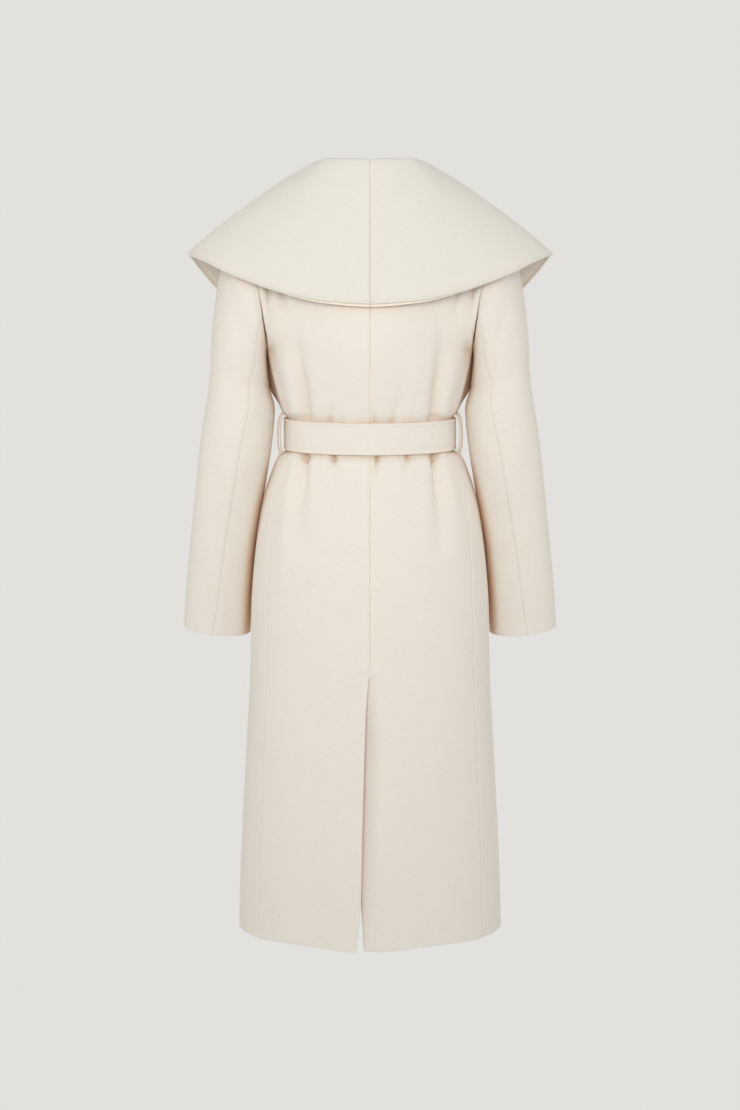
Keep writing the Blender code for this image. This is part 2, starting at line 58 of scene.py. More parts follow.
# ------------------------ the coat's own sizes
WALL = 0.0020  # coating wool
HEM_Z = -1.148
UNDERARM_Z = -0.245
VENT_TOP_Z = -0.722
VENT_BAR_Z = -0.738  # lower end of the slanted bar across the vent's top
VENT_UNDERLAP = 0.046  # how far the right half reaches under the left one at the vent's top
NECK_HALF_WIDTH = 0.076
NECK_BACK = 0.060
NECK_RISE = 0.004
SHOULDER = np.array([0.187, -0.002, -0.050])
FRONT_LAYER = 0.0060  # how far the left front lies inside the right one where they cross
BELT_Z = -0.3765
BELT_HEIGHT = 0.0480
BELT_WALL = 0.0032
BELT_EASE = 0.0031  # the belt's inner face outside the body's lining side
COLLAR_WALL = 0.0020
COLLAR_HALF_GAP = 0.00012  # from the collar's middle surface to each of its two layers
COLLAR_END_Z = -0.336  # where the lapels run out, just above the belt
UNDER_COLLAR_DROP = 0.004
LOOP_ANGLE = 82.0
LOOP_WALL = 0.0028
LOOP_WIDTH = 0.010
# heights of a belt loop and its inner face's distance from the body's middle there
LOOP_BOW = [(-0.3440, 0.1318), (-0.3485, 0.1362), (-0.3580, 0.1390), (-0.3760, 0.1404),
            (-0.3940, 0.1398), (-0.4030, 0.1376), (-0.4075, 0.1345)]
BELT_END_DEG = 173.0  # the belt's ends stop short of each other behind the knot
KNOT_Y = -0.1145
TAIL_NECK = 0.030  # a tail's width where it leaves the knot
TAIL_OUT = 0.0055
TAIL_LEAN = 0.006
TAIL_TOP_Z = -0.404
TAIL_END_Z = -0.720

# The body's rings. half_width, back and front are half axes of the ring; seam_deg is where the
# side seam stands, in degrees from centre back; overlap is how far a front passes centre front.
Section = namedtuple("Section", "z half_width back front seam_deg overlap")
BODY = table(Section, [
    (-1.160, 0.2045, 0.1560, 0.1130, 58.0, 0.075),
    (-1.060, 0.2010, 0.1525, 0.1130, 58.0, 0.072),
    (-0.953, 0.1955, 0.1480, 0.1140, 58.5, 0.069),
    (-0.850, 0.1895, 0.1440, 0.1150, 58.5, 0.066),
    (-0.728, 0.1828, 0.1385, 0.1160, 59.0, 0.063),
    (-0.640, 0.1808, 0.1345, 0.1155, 59.0, 0.060),
    (-0.569, 0.1755, 0.1290, 0.1135, 60.0, 0.057),
    (-0.507, 0.1675, 0.1215, 0.1095, 62.0, 0.054),
    (-0.472, 0.1605, 0.1140, 0.1060, 65.0, 0.051),
    (-0.439, 0.1500, 0.1050, 0.1010, 70.0, 0.049),
    (-0.411, 0.1375, 0.0950, 0.0950, 75.0, 0.047),
    (-0.402, 0.1250, 0.0880, 0.0915, 76.0, 0.046),
    (-0.351, 0.1250, 0.0880, 0.0915, 77.0, 0.040),
    (-0.340, 0.1330, 0.0925, 0.0960, 78.0, 0.036),
    (-0.311, 0.1405, 0.0990, 0.1070, 79.0, 0.026),
    (-0.272, 0.1495, 0.1060, 0.1150, 80.0, 0.012),
    (UNDERARM_Z, 0.1545, 0.1095, 0.1180, 80.0, 0.003),
])

# Folds of the body, left ones at positive angles from centre back. The trough wanders from
# angle_top to angle_low, is deepest at deep_z, and half_deg is its half width. A negative depth is
# a ridge; the last two are the fullness that bunches below each underarm.
Fold = namedtuple("Fold", "top_z deep_z low_z angle_top angle_low half_deg depth")
FOLDS = table(Fold, [
    (-0.398, -0.408, -0.580, 48.0, 37.0, 5.0, 0.0055),
    (-0.398, -0.408, -0.580, -48.0, -35.5, 5.0, 0.0055),
    (-0.160, -0.335, -0.352, 39.0, 48.0, 6.0, 0.0050),
    (-0.175, -0.335, -0.352, -42.0, -49.0, 6.0, 0.0050),
    (-0.398, -0.406, -0.450, 25.0, 24.0, 3.5, 0.0030),
    (-0.398, -0.406, -0.445, -4.0, -4.0, 3.5, 0.0025),
    (-0.398, -0.406, -0.450, -29.0, -28.0, 3.5, 0.0030),
    (-0.398, -0.410, -0.560, 128.0, 138.0, 6.0, 0.0050),
    (-0.398, -0.410, -0.560, -124.0, -136.0, 6.0, 0.0050),
    (-0.280, -0.335, -0.352, 134.0, 126.0, 6.0, 0.0040),
    (-0.280, -0.335, -0.352, -136.0, -127.0, 6.0, 0.0040),
    (-0.205, -0.298, -0.352, 107.0, 107.0, 12.0, -0.0190),
    (-0.205, -0.298, -0.352, -107.0, -107.0, 12.0, -0.0190),
])

# The vent's two edges, as distances to the wearer's left of centre back. flap is the edge of the
# left half, which lies on top; underlap is the edge of the right half beneath it.
Vent = namedtuple("Vent", "z flap underlap")
VENT = table(Vent, [
    (VENT_TOP_Z, 0.0002, VENT_UNDERLAP),
    (-0.745, 0.0030, 0.0440),
    (-0.780, 0.0058, 0.0410),
    (-0.850, 0.0082, 0.0350),
    (-1.000, 0.0122, 0.0220),
    (-1.078, 0.0140, 0.0138),
    (-1.160, 0.0222, 0.0088),
])

# Rings of the left sleeve below the armhole. inner_x faces the body; slope_x and slope_y tilt
# the ring so that it stays across the arm.
Ring = namedtuple("Ring", "z inner_x outer_x y half_depth slope_x slope_y")
SLEEVE = table(Ring, [
    (-0.290, 0.1555, 0.2400, 0.002, 0.0540, 0.35, 0.00),
    (-0.330, 0.1468, 0.2455, 0.004, 0.0520, 0.20, 0.00),
    (-0.382, 0.1510, 0.2552, 0.003, 0.0500, 0.12, -0.03),
    (-0.440, 0.1600, 0.2625, -0.002, 0.0480, 0.10, -0.08),
    (-0.500, 0.1705, 0.2695, -0.010, 0.0460, 0.10, -0.10),
    (-0.550, 0.1785, 0.2755, -0.017, 0.0450, 0.10, -0.10),
    (-0.619, 0.1842, 0.2830, -0.027, 0.0430, 0.10, -0.10),
    (-0.6855, 0.1885, 0.2885, -0.037, 0.0415, 0.10, -0.10),
])
ELBOW_SEAM = [(-0.205, 54.0), (-0.285, 67.0), (-0.333, 74.0), (-0.411, 81.0), (-0.511, 83.5), (-0.613, 88.0),
              (-0.690, 95.0)]
FOREARM_SEAM_DEG = -35.0
CAP_FALL = 0.19  # real height per step of h above the first ring

# The left collar. seam_at runs 0 to 1 along the back neckline and on to 2 down the front edge;
# rise leads from the seam to the crest of the roll, edge is the outer edge, and puff lifts the fall.
# The first row mirrors the third one, so that the collar runs level through centre back.
Station = namedtuple("Station", "seam_at rise edge puff")
COLLAR = table(Station, [
    (-0.30, (-0.004, 0.008, 0.0325), (-0.071, 0.116, -0.170), 0.008),
    (0.00, (0.000, 0.008, 0.0315), (0.000, 0.121, -0.1745), 0.008),
    (0.30, (0.004, 0.008, 0.0325), (0.071, 0.116, -0.170), 0.008),
    (0.55, (0.006, 0.008, 0.0325), (0.143, 0.098, -0.154), 0.012),
    (0.78, (0.007, 0.006, 0.0280), (0.207, 0.069, -0.133), 0.017),
    (0.95, (0.010, 0.002, 0.0230), (0.252, 0.032, -0.1135), 0.019),
    (1.06, (0.014, -0.006, 0.017), (0.2755, -0.006, -0.106), 0.020),
    (1.20, (0.017, -0.014, 0.013), (0.264, -0.048, -0.126), 0.021),
    (1.38, (0.014, -0.018, 0.010), (0.236, -0.081, -0.162), 0.019),
    (1.56, (0.009, -0.016, 0.006), (0.185, -0.108, -0.212), 0.015),
    (1.74, (0.006, -0.013, 0.003), (0.131, -0.126, -0.262), 0.010),
])
RIGHT_LAPEL = table(Station, [
    (1.88, (0.004, -0.010, 0.002), (0.073, -0.130, -0.302), 0.006),
    (2.00, (0.003, -0.006, 0.001), (-0.012, -0.112, -0.332), 0.002),
])
LEFT_LAPEL = table(Station, [
    (1.84, (0.004, -0.006, 0.001), (0.096, -0.126, -0.292), 0.004),
    (1.93, (0.003, -0.005, 0.001), (0.056, -0.118, -0.318), 0.002),
])
LEFT_LAPEL_TUCK = 0.012  # the left lapel stops this far outside the right front's edge


# ------------------------ cloth detail
SEAM_CRACK = 0.0001  # what is left open between two pieces at a seam
SEAM_DIP = 0.0006  # how far the cloth turns in at a seam
SEAM_WIDTH = 0.0017
SLACK = 1.75  # how much deeper than their table the creases fall in worn cloth
ARMHOLE_ROLL = 0.0030  # the back panels' fullness beside the armhole
VENT_SINK = 0.0030  # how far the right half sinks beside the vent's flap
VENT_LIFT = 0.0030  # and how far the flap's edge stands off
COLLAR_ROLL = 0.0012  # how much fuller the collar's turned edge is than its fall
EDGE_STEPS = [0.00015, 0.0004, 0.0008, 0.0014, 0.0022, 0.0032, 0.0045, 0.0062]
FREE = dict.fromkeys(("row_first", "row_last", "col_first", "col_last"), "free")
SIDES = ((1, "left"), (-1, "right"))

# Soft creases. face says on which side of the coat a crease lies. Its line runs through the
# stations (x, z, half width, depth); x is positive on the wearer's left and depth is negative
# on a ridge.
BACK_LINES = [
    # long troughs from the shoulder blades to the belt, each with a ridge beside it
    [(0.107, -0.18, 0.01, 0.0), (0.111, -0.229, 0.01, 0.0016), (0.107, -0.273, 0.009, 0.0032),
     (0.1, -0.303, 0.008, 0.0046), (0.094, -0.35, 0.007, 0.0044)],
    [(0.124, -0.235, 0.01, 0.0), (0.121, -0.285, 0.009, -0.0016), (0.112, -0.335, 0.007, -0.002)],
    [(-0.1, -0.18, 0.01, 0.0), (-0.107, -0.229, 0.01, 0.0018), (-0.104, -0.273, 0.009, 0.0034),
     (-0.1, -0.303, 0.008, 0.0048), (-0.094, -0.35, 0.007, 0.0044)],
    [(-0.122, -0.24, 0.01, 0.0), (-0.118, -0.29, 0.009, -0.0016), (-0.109, -0.338, 0.007, -0.002)],
    # short puckers that run out from under the collar
    [(0.151, -0.14, 0.006, 0.004), (0.151, -0.158, 0.006, 0.0036), (0.15, -0.176, 0.006, 0.0)],
    [(0.13, -0.145, 0.005, 0.004), (0.129, -0.17, 0.005, 0.0034), (0.127, -0.198, 0.006, 0.0)],
    [(-0.153, -0.14, 0.006, 0.004), (-0.152, -0.16, 0.006, 0.0034), (-0.15, -0.18, 0.006, 0.0)],
    [(-0.127, -0.145, 0.005, 0.0034), (-0.127, -0.17, 0.005, 0.003), (-0.129, -0.194, 0.006, 0.0)],
    # slack across the back, very shallow
    [(0.064, -0.21, 0.016, 0.0), (0.062, -0.27, 0.016, 0.001), (0.058, -0.33, 0.01, 0.0012)],
    [(-0.052, -0.22, 0.016, 0.0), (-0.05, -0.28, 0.015, 0.001), (-0.046, -0.33, 0.01, 0.0012)],
    # small puckers above the belt
    [(0.058, -0.32, 0.006, 0.0), (0.0585, -0.34, 0.005, 0.0022), (0.059, -0.352, 0.004, 0.003)],
    [(-0.006, -0.322, 0.006, 0.0), (-0.0065, -0.342, 0.005, 0.0016), (-0.007, -0.352, 0.004, 0.0022)],
    [(-0.045, -0.308, 0.009, 0.0), (-0.039, -0.332, 0.007, 0.0018), (-0.033, -0.352, 0.005, 0.0026)],
    [(0.03, -0.325, 0.008, 0.0), (0.028, -0.352, 0.006, -0.0012)],
    # pleats that open below the belt, with a full ridge on the outer side
    [(0.0955, -0.398, 0.0045, 0.005), (0.0985, -0.44, 0.006, 0.0032), (0.104, -0.496, 0.011, 0.0018),
     (0.106, -0.565, 0.016, 0.0)],
    [(0.109, -0.405, 0.007, -0.0012), (0.12, -0.46, 0.011, -0.002), (0.129, -0.52, 0.014, -0.0018),
     (0.133, -0.59, 0.016, 0.0)],
    [(-0.0945, -0.398, 0.0045, 0.005), (-0.0985, -0.44, 0.006, 0.0034), (-0.1035, -0.49, 0.01, 0.002),
     (-0.106, -0.565, 0.016, 0.0)],
    [(-0.108, -0.405, 0.007, -0.0012), (-0.119, -0.46, 0.011, -0.002), (-0.127, -0.52, 0.014, -0.0018),
     (-0.131, -0.59, 0.016, 0.0)],
    # small puckers below the belt
    [(0.055, -0.396, 0.0032, 0.005), (0.05, -0.42, 0.005, 0.0022), (0.042, -0.448, 0.008, 0.001),
     (0.034, -0.48, 0.01, 0.0)],
    [(0.064, -0.398, 0.004, -0.001), (0.068, -0.44, 0.008, 0.0008), (0.07, -0.48, 0.01, 0.0)],
    [(-0.011, -0.396, 0.0032, 0.005), (-0.0095, -0.42, 0.005, 0.002), (-0.007, -0.46, 0.009, 0.0)],
    [(-0.056, -0.396, 0.0032, 0.004), (-0.052, -0.42, 0.005, 0.002), (-0.047, -0.465, 0.009, 0.0)],
    [(-0.032, -0.4, 0.004, -0.0008), (-0.029, -0.44, 0.008, 0.0008), (-0.026, -0.48, 0.01, 0.0)],
    # two faint marks on the skirt
    [(-0.1285, -0.59, 0.002, 0.0005), (-0.129, -0.596, 0.002, 0.0004)],
    [(0.069, -0.598, 0.002, 0.0003), (0.07, -0.602, 0.002, 0.0003)],
    # the slanted bar of stitches that holds the underlap at the vent's top
    [(0.0, -0.7225, 0.0012, 0.0007), (0.0245, -0.73, 0.0012, 0.0007), (0.048, -0.738, 0.0012, 0.0006)],
]
FRONT_LINES = [
    # drag lines from the bust to the belt, and pleats below it
    [(0.112, -0.215, 0.01, 0.0), (0.106, -0.275, 0.009, 0.0024), (0.093, -0.35, 0.006, 0.0034)],
    [(-0.108, -0.22, 0.01, 0.0), (-0.101, -0.28, 0.009, 0.0026), (-0.09, -0.35, 0.006, 0.0034)],
    [(0.072, -0.3, 0.008, 0.0), (0.066, -0.352, 0.005, 0.0026)],
    [(-0.064, -0.305, 0.008, 0.0), (-0.06, -0.352, 0.005, 0.0028)],
    [(0.093, -0.398, 0.005, 0.005), (0.1, -0.45, 0.007, 0.0028), (0.106, -0.54, 0.014, 0.0)],
    [(-0.09, -0.398, 0.005, 0.005), (-0.098, -0.46, 0.007, 0.0026), (-0.105, -0.56, 0.014, 0.0)],
    [(0.064, -0.397, 0.0035, 0.0044), (0.069, -0.44, 0.007, 0.0016), (0.074, -0.49, 0.01, 0.0)],
    [(-0.058, -0.397, 0.0035, 0.0044), (-0.064, -0.44, 0.007, 0.0018), (-0.072, -0.5, 0.01, 0.0)],
    [(-0.077, -0.42, 0.01, -0.001), (-0.088, -0.52, 0.016, -0.0016), (-0.092, -0.64, 0.02, 0.0)],
    [(0.08, -0.42, 0.01, -0.001), (0.09, -0.5, 0.016, -0.0016), (0.094, -0.62, 0.02, 0.0)],
]
SLEEVE_BACK_LINES = [
    # left sleeve
    [(0.205, -0.15, 0.012, 0.0), (0.196, -0.205, 0.011, 0.0014), (0.183, -0.255, 0.01, 0.0)],
    [(0.215, -0.24, 0.014, 0.0), (0.208, -0.3, 0.012, 0.0012), (0.196, -0.35, 0.01, 0.0)],
    [(0.17, -0.34, 0.009, 0.0), (0.181, -0.375, 0.009, 0.0014), (0.196, -0.402, 0.01, 0.0)],
    [(0.244, -0.35, 0.012, 0.0), (0.24, -0.42, 0.014, 0.001), (0.242, -0.5, 0.014, 0.0)],
    [(0.196, -0.44, 0.012, 0.0), (0.206, -0.5, 0.014, 0.001), (0.214, -0.58, 0.014, 0.0)],
    # right sleeve
    [(-0.206, -0.155, 0.012, 0.0), (-0.195, -0.215, 0.011, 0.0014), (-0.182, -0.262, 0.01, 0.0)],
    [(-0.212, -0.25, 0.014, 0.0), (-0.204, -0.305, 0.012, 0.0012), (-0.193, -0.35, 0.01, 0.0)],
    [(-0.171, -0.345, 0.009, 0.0), (-0.183, -0.38, 0.009, 0.0014), (-0.199, -0.405, 0.01, 0.0)],
    [(-0.242, -0.34, 0.012, 0.0), (-0.239, -0.43, 0.014, 0.001), (-0.243, -0.51, 0.014, 0.0)],
    [(-0.198, -0.45, 0.012, 0.0), (-0.208, -0.51, 0.014, 0.001), (-0.215, -0.59, 0.014, 0.0)],
]
SLEEVE_FRONT_LINES = [
    [(0.172, -0.335, 0.008, 0.0), (0.186, -0.365, 0.008, 0.0022), (0.206, -0.385, 0.01, 0.0)],
    [(0.176, -0.375, 0.008, 0.0), (0.192, -0.402, 0.008, 0.002), (0.212, -0.415, 0.01, 0.0)],
    [(0.21, -0.18, 0.012, 0.0), (0.199, -0.24, 0.012, 0.0016), (0.182, -0.3, 0.01, 0.0)],
    [(-0.173, -0.34, 0.008, 0.0), (-0.188, -0.37, 0.008, 0.0022), (-0.208, -0.392, 0.01, 0.0)],
    [(-0.177, -0.38, 0.008, 0.0), (-0.194, -0.408, 0.008, 0.0018), (-0.214, -0.42, 0.01, 0.0)],
    [(-0.208, -0.185, 0.012, 0.0), (-0.197, -0.245, 0.012, 0.0016), (-0.181, -0.305, 0.01, 0.0)],
]
Crease = namedtuple("Crease", "face line")


def on_both_faces(back_lines, front_lines):
    return [Crease("back", line) for line in back_lines] + [Crease("front", line) for line in front_lines]


BODY_CREASES = on_both_faces(BACK_LINES, FRONT_LINES)
SLEEVE_CREASES = on_both_faces(SLEEVE_BACK_LINES, SLEEVE_FRONT_LINES)


# ------------------------ small mathematics
def smooth_through(xs, ys, x):
    """Monotone cubic through the points, so a section table never overshoots."""
    xs = np.asarray(xs, float)
    ys = np.asarray(ys, float)
    if xs[0] > xs[-1]:
        xs, ys = xs[::-1], ys[::-1]
    x = np.clip(np.asarray(x, float), xs[0], xs[-1])
    step = np.diff(xs)
    slope = np.diff(ys) / step
    turn = slope[:-1] * slope[1:]
    both = np.where(turn > 0, slope[:-1] + slope[1:], 1.0)
    inner = np.where(turn > 0, 2.0 * turn / both, 0.0)
    tangent = np.concatenate([slope[:1], inner, slope[-1:]])
    k = np.clip(np.searchsorted(xs, x) - 1, 0, len(step) - 1)
    t = (x - xs[k]) / step[k]
    bend = step[k] * ((1 - t) ** 2 * t * tangent[k] - t ** 2 * (1 - t) * tangent[k + 1])
    return ys[k] * (1 + 2 * t) * (1 - t) ** 2 + ys[k + 1] * t ** 2 * (3 - 2 * t) + bend


def column(rows, name, z):
    """One column of a table of heights, read at heights z."""
    return smooth_through([r.z for r in rows], [getattr(r, name) for r in rows], z)


def ease(t):
    t = np.clip(t, 0.0, 1.0)
    return t * t * (3.0 - 2.0 * t)


def points(x, y, z):
    return np.stack(np.broadcast_arrays(x, y, z), axis=-1).astype(float)


def unit(v):
    return v / np.maximum(np.linalg.norm(v, axis=-1, keepdims=True), 1e-12)


def mix(a, b, t):
    t = np.asarray(t, float)[..., None]
    return a * (1.0 - t) + b * t


def bezier(p0, p1, p2, p3, t):
    t = np.asarray(t, float)[..., None]
    u = 1.0 - t
    return p0 * u ** 3 + p1 * (3 * u * u * t) + p2 * (3 * u * t * t) + p3 * t ** 3


def mirrored(side, p):
    """The left side's points, or their mirror image on the right one."""
    return p * np.array([side, 1.0, 1.0])


def spaced(first, last, step, fine_first=True, fine_last=True, scale=1.0):
    """Positions from first to last about a step apart, and much closer beside a fine end.

    scale is how long one unit of the positions is in metres.
    """
    length = abs(last - first) * scale
    start = [0.0] + (EDGE_STEPS if fine_first else [])
    end = [0.0] + (EDGE_STEPS if fine_last else [])
    room = length - start[-1] - end[-1]
    count = max(int(round(room / step)), 1)
    middle = [start[-1] + room * k / count for k in range(1, count)]
    along = start + middle + [length - e for e in reversed(end)]
    return first + (last - first) * np.array(along) / length


# ------------------------ the body's form
def fold_depth(z, angle):
    total = np.zeros(np.broadcast(z, angle).shape)
    for f in FOLDS:
        along = (f.top_z - z) / (f.top_z - f.low_z)
        centre = f.angle_top + (f.angle_low - f.angle_top) * along
        reach = np.where(z > f.deep_z, f.top_z - f.deep_z, f.deep_z - f.low_z)
        strength = ease(1.0 - np.abs(z - f.deep_z) / reach)
        total += f.depth * strength * np.exp(-((angle - centre) / f.half_deg) ** 2)
    return total


def body(z, angle, out=0.0):
    """Lining side of the body at a height, at an angle in degrees from centre back."""
    a = np.radians(angle)
    half = column(BODY, "half_width", z)
    depth = np.where(np.cos(a) > 0, column(BODY, "back", z), column(BODY, "front", z))
    nx, ny = np.sin(a) / half, np.cos(a) / depth
    out = out / np.hypot(nx, ny)
    return points(half * np.sin(a) + nx * out, depth * np.cos(a) + ny * out, z)


def ring_angle(p):
    """Degrees from centre back of points on the body, positive on the wearer's left."""
    z = np.minimum(p[..., 2], UNDERARM_Z)
    half = column(BODY, "half_width", z)
    depth = np.where(p[..., 1] > 0, column(BODY, "back", z), column(BODY, "front", z))
    return np.degrees(np.arctan2(p[..., 0] / half, p[..., 1] / depth))


def angle_at_x(z, x):
    return np.degrees(np.arcsin(np.clip(x / column(BODY, "half_width", z), -1.0, 1.0)))


def armhole(t, face):
    """The armhole of the left side from the underarm (0) to the shoulder (1); face +1 back, -1 front."""
    face = np.asarray(face, float)
    low = body(UNDERARM_Z, column(BODY, "seam_deg", UNDERARM_Z))
    reach_low = points(0.004, 0.085 * face, 0.028)
    reach_top = points(-0.016, 0.072 * face, -0.045)
    return bezier(low, low + reach_low, SHOULDER + reach_top, SHOULDER, t)


def neckline(q):
    """Back neckline of the left half, from centre back (0) to the shoulder seam (1)."""
    a = np.radians(90.0 * q)
    return points(NECK_HALF_WIDTH * np.sin(a), NECK_BACK * np.cos(a), NECK_RISE * q * q)


def yoke(low, top, s, face, t):
    """The column that carries the body from the underarm ring to the top."""
    hip = s ** 3
    rise = points(0.0, face * (0.010 + 0.075 * hip), 0.100 - 0.072 * hip)
    round_over = points(0.0, face * (0.030 + 0.016 * s), -0.030 - 0.006 * s)
    return bezier(low, low + rise, top + round_over, top, t)


def back_edge(h, side):
    """Where a back half begins, to the wearer's left of centre back for side 1 and right for -1."""
    edge = np.full(np.shape(h), SEAM_CRACK / 2)
    if side > 0:
        edge = np.where(h > VENT_TOP_Z, edge, column(VENT, "flap", h))
    return edge


def back_layer(h, angle, side):
    """The right half dips under the left half's flap beside the vent."""
    if side > 0:
        return 0.0
    dip_width = 6.0
    start = ease((VENT_TOP_Z - h) / (VENT_TOP_Z - VENT_BAR_Z))
    return -0.0030 * start * ease(1.0 - angle / dip_width)


def back(s, h, side):
    """Back half panel: s from centre back (0) to the side (1), h the height up to the nape (0)."""
    h, s = np.atleast_2d(h).T if np.ndim(h) == 1 else h, np.atleast_2d(s)
    gap = SEAM_CRACK / 2
    shoulder_start = 0.42
    z = np.minimum(h, UNDERARM_Z)
    seam = column(BODY, "seam_deg", z) - math.degrees(gap / 0.15)
    first = angle_at_x(z, back_edge(z, side))
    angle = first + (seam - first) * s
    ring = body(z + 0 * s, angle, back_layer(z, angle, side))
    t = np.clip((h - UNDERARM_Z) / -UNDERARM_Z, 0.0, 1.0)
    neck = neckline(np.clip(s / shoulder_start, 0.0, 1.0))
    along = np.clip((s - shoulder_start) / (1 - shoulder_start), 0.0, 1.0)
    shoulder = mix(neckline(np.array(1.0)), SHOULDER, along)
    top = np.where((s < shoulder_start)[..., None], neck, shoulder + np.array([0.0, gap, 0.0]))
    column_of_cloth = yoke(ring, top, s, 1.0, t + 0 * s)
    hole = armhole(t, 1.0) + points(-gap, gap * (1 - t), 0.0)
    shape = column_of_cloth + (hole - column_of_cloth[:, -1:]) * ease((s - 0.72) / 0.28)[..., None]
    return mirrored(side, np.where((h > UNDERARM_Z)[..., None], shape, ring))


def front_layer(h, angle, side):
    """The left front lies inside the right one wherever the right one covers it."""
    if side < 0:
        return 0.0
    covered = 180.0 - angle_at_x(h, column(BODY, "overlap", h))
    return -FRONT_LAYER * ease((angle - covered + 16.0) / 14.0)


def front(s, h, side):
    """Front panel: s from the side seam (0) to the front edge (1)."""
    h, s = np.atleast_2d(h).T if np.ndim(h) == 1 else h, np.atleast_2d(s)
    gap = SEAM_CRACK / 2
    z = np.minimum(h, UNDERARM_Z)
    seam = column(BODY, "seam_deg", z) + math.degrees(gap / 0.15)
    edge = 180.0 + angle_at_x(z, column(BODY, "overlap", z))
    angle = seam + (edge - seam) * s
    ring = body(z + 0 * s, angle, front_layer(z, angle, side))
    t = np.clip((h - UNDERARM_Z) / -UNDERARM_Z, 0.0, 1.0)
    top = mix(SHOULDER, neckline(np.array(1.0)), s) + np.array([0.0, -gap, 0.0])
    column_of_cloth = yoke(ring, top, 1.0 - s, -1.0, t + 0 * s)
    hole = armhole(t, -1.0) + points(-gap, -gap * (1 - t), 0.0)
    shape = column_of_cloth + (hole - column_of_cloth[:, :1]) * ease(1.0 - s / 0.22)[..., None]
    return mirrored(side, np.where((h > UNDERARM_Z)[..., None], shape, ring))


# ------------------------ sleeves
def sleeve_ring(a, z):
    inner = column(SLEEVE, "inner_x", z)
    outer = column(SLEEVE, "outer_x", z)
    dx = -0.5 * (outer - inner) * np.cos(a)
    dy = column(SLEEVE, "half_depth", z) * np.sin(a)
    dz = column(SLEEVE, "slope_x", z) * dx + column(SLEEVE, "slope_y", z) * dy
    return points(0.5 * (inner + outer) + dx, column(SLEEVE, "y", z) + dy, z + dz)


def sleeve(angle, h):
    """Left sleeve: angle 0 faces the body, 90 the back; h falls from 1 at the armhole to -0.69."""
    a = np.radians(angle)
    top_z = SLEEVE[0].z
    t = np.clip((top_z - h) / (top_z - 1.0), 0.0, 1.0)
    way = (angle % 360.0) / 180.0
    hole = armhole(np.where(way <= 1.0, way, 2.0 - way), np.where(way <= 1.0, 1.0, -1.0))
    under = np.cos(a / 2) ** 2
    crown = np.sin(a / 2) ** 2
    body_side = unit(points(under, np.sin(a), 0.5 * crown))
    tube_side = unit(points(-0.75 * np.cos(a), np.sin(a), -0.65 * np.cos(a)))
    start = hole + (body_side - tube_side) * (WALL * under)[..., None]
    start = start + points(SEAM_CRACK * 1.6, 0.0, 0.0)
    end = sleeve_ring(a, np.full(a.shape, top_z))
    leave = points(0.006 + 0.024 * crown, 0.012 * np.sin(a), -0.010 - 0.004 * crown)
    arrive = points(0.0, 0.004 * np.sin(a), 0.010 + 0.080 * crown)
    cap = bezier(end, end + arrive, start + leave, start, t + 0 * a)
    tube = sleeve_ring(a, np.minimum(h, top_z) + 0 * a)
    return np.where((h > top_z)[..., None], cap, tube)


# ------------------------ collar
def collar_seam(at, side):
    """Just clear of the neckline and of the front edge, which the collar is sewn to."""
    neck = neckline(np.minimum(at, 1.0)) + points(-0.0034 * at, 0.0, 0.0004 + 0.0041 * at ** 4)
    h = np.maximum(at - 1.0, 0.0) * COLLAR_END_Z
    edge = mirrored(side, front(np.array([1.0]), h, side)[:, 0])
    down = ease((at - 1.0) * 3)
    edge = edge + points(-0.0034, -0.0045 * down, 0.0045 * (1 - down))
    ring = np.minimum(h, UNDERARM_Z)
    tuck = column(BODY, "overlap", ring) + LEFT_LAPEL_TUCK
    chest = body(ring, 180.0 - angle_at_x(h, tuck), 0.004)
    tucked = points(tuck, chest[..., 1], h)
    use = (side > 0) & (at > 1.5) & (edge[..., 0] < tuck)
    edge = np.where(use[..., None], tucked, edge)
    return np.where((at <= 1.0)[..., None], neck, edge)


def collar(at, t, side):
    """The collar's middle surface: t 0 at the seam, 0.3 at the roll's crest, 1 at the outer edge."""
    rows = COLLAR + (LEFT_LAPEL if side > 0 else RIGHT_LAPEL)
    keys = [r.seam_at for r in rows]
    rise = points(*[smooth_through(keys, [r.rise[i] for r in rows], at) for i in range(3)])
    edge = points(*[smooth_through(keys, [r.edge[i] for r in rows], at) for i in range(3)])
    puff = smooth_through(keys, [r.puff for r in rows], at)
    seam = collar_seam(at, side)
    roll = seam + rise
    fall = edge - roll
    outward = unit(fall * np.array([1.0, 1.0, 0.35]))
    crest = outward * np.minimum(0.011, 0.30 * np.linalg.norm(fall, axis=-1))[:, None]
    lift = unit(np.cross(points(-fall[:, 1], fall[:, 0], 0.0), fall))
    lift = np.where(lift[:, 2:] < 0, -lift, lift)
    middle = 0.5 * (roll + edge) + lift * puff[:, None]
    seam, roll, edge, crest, middle = (v[:, None, :] for v in (seam, roll, edge, crest, middle))
    t = t[None, :] + 0 * at[:, None]
    stand = bezier(seam, seam + (roll - seam) * 0.55, roll - crest, roll, np.clip(t / 0.3, 0.0, 1.0))
    outer = bezier(roll, roll + crest, middle, edge, np.clip((t - 0.3) / 0.7, 0.0, 1.0))
    return mirrored(side, np.where((t <= 0.3)[..., None], stand, outer))


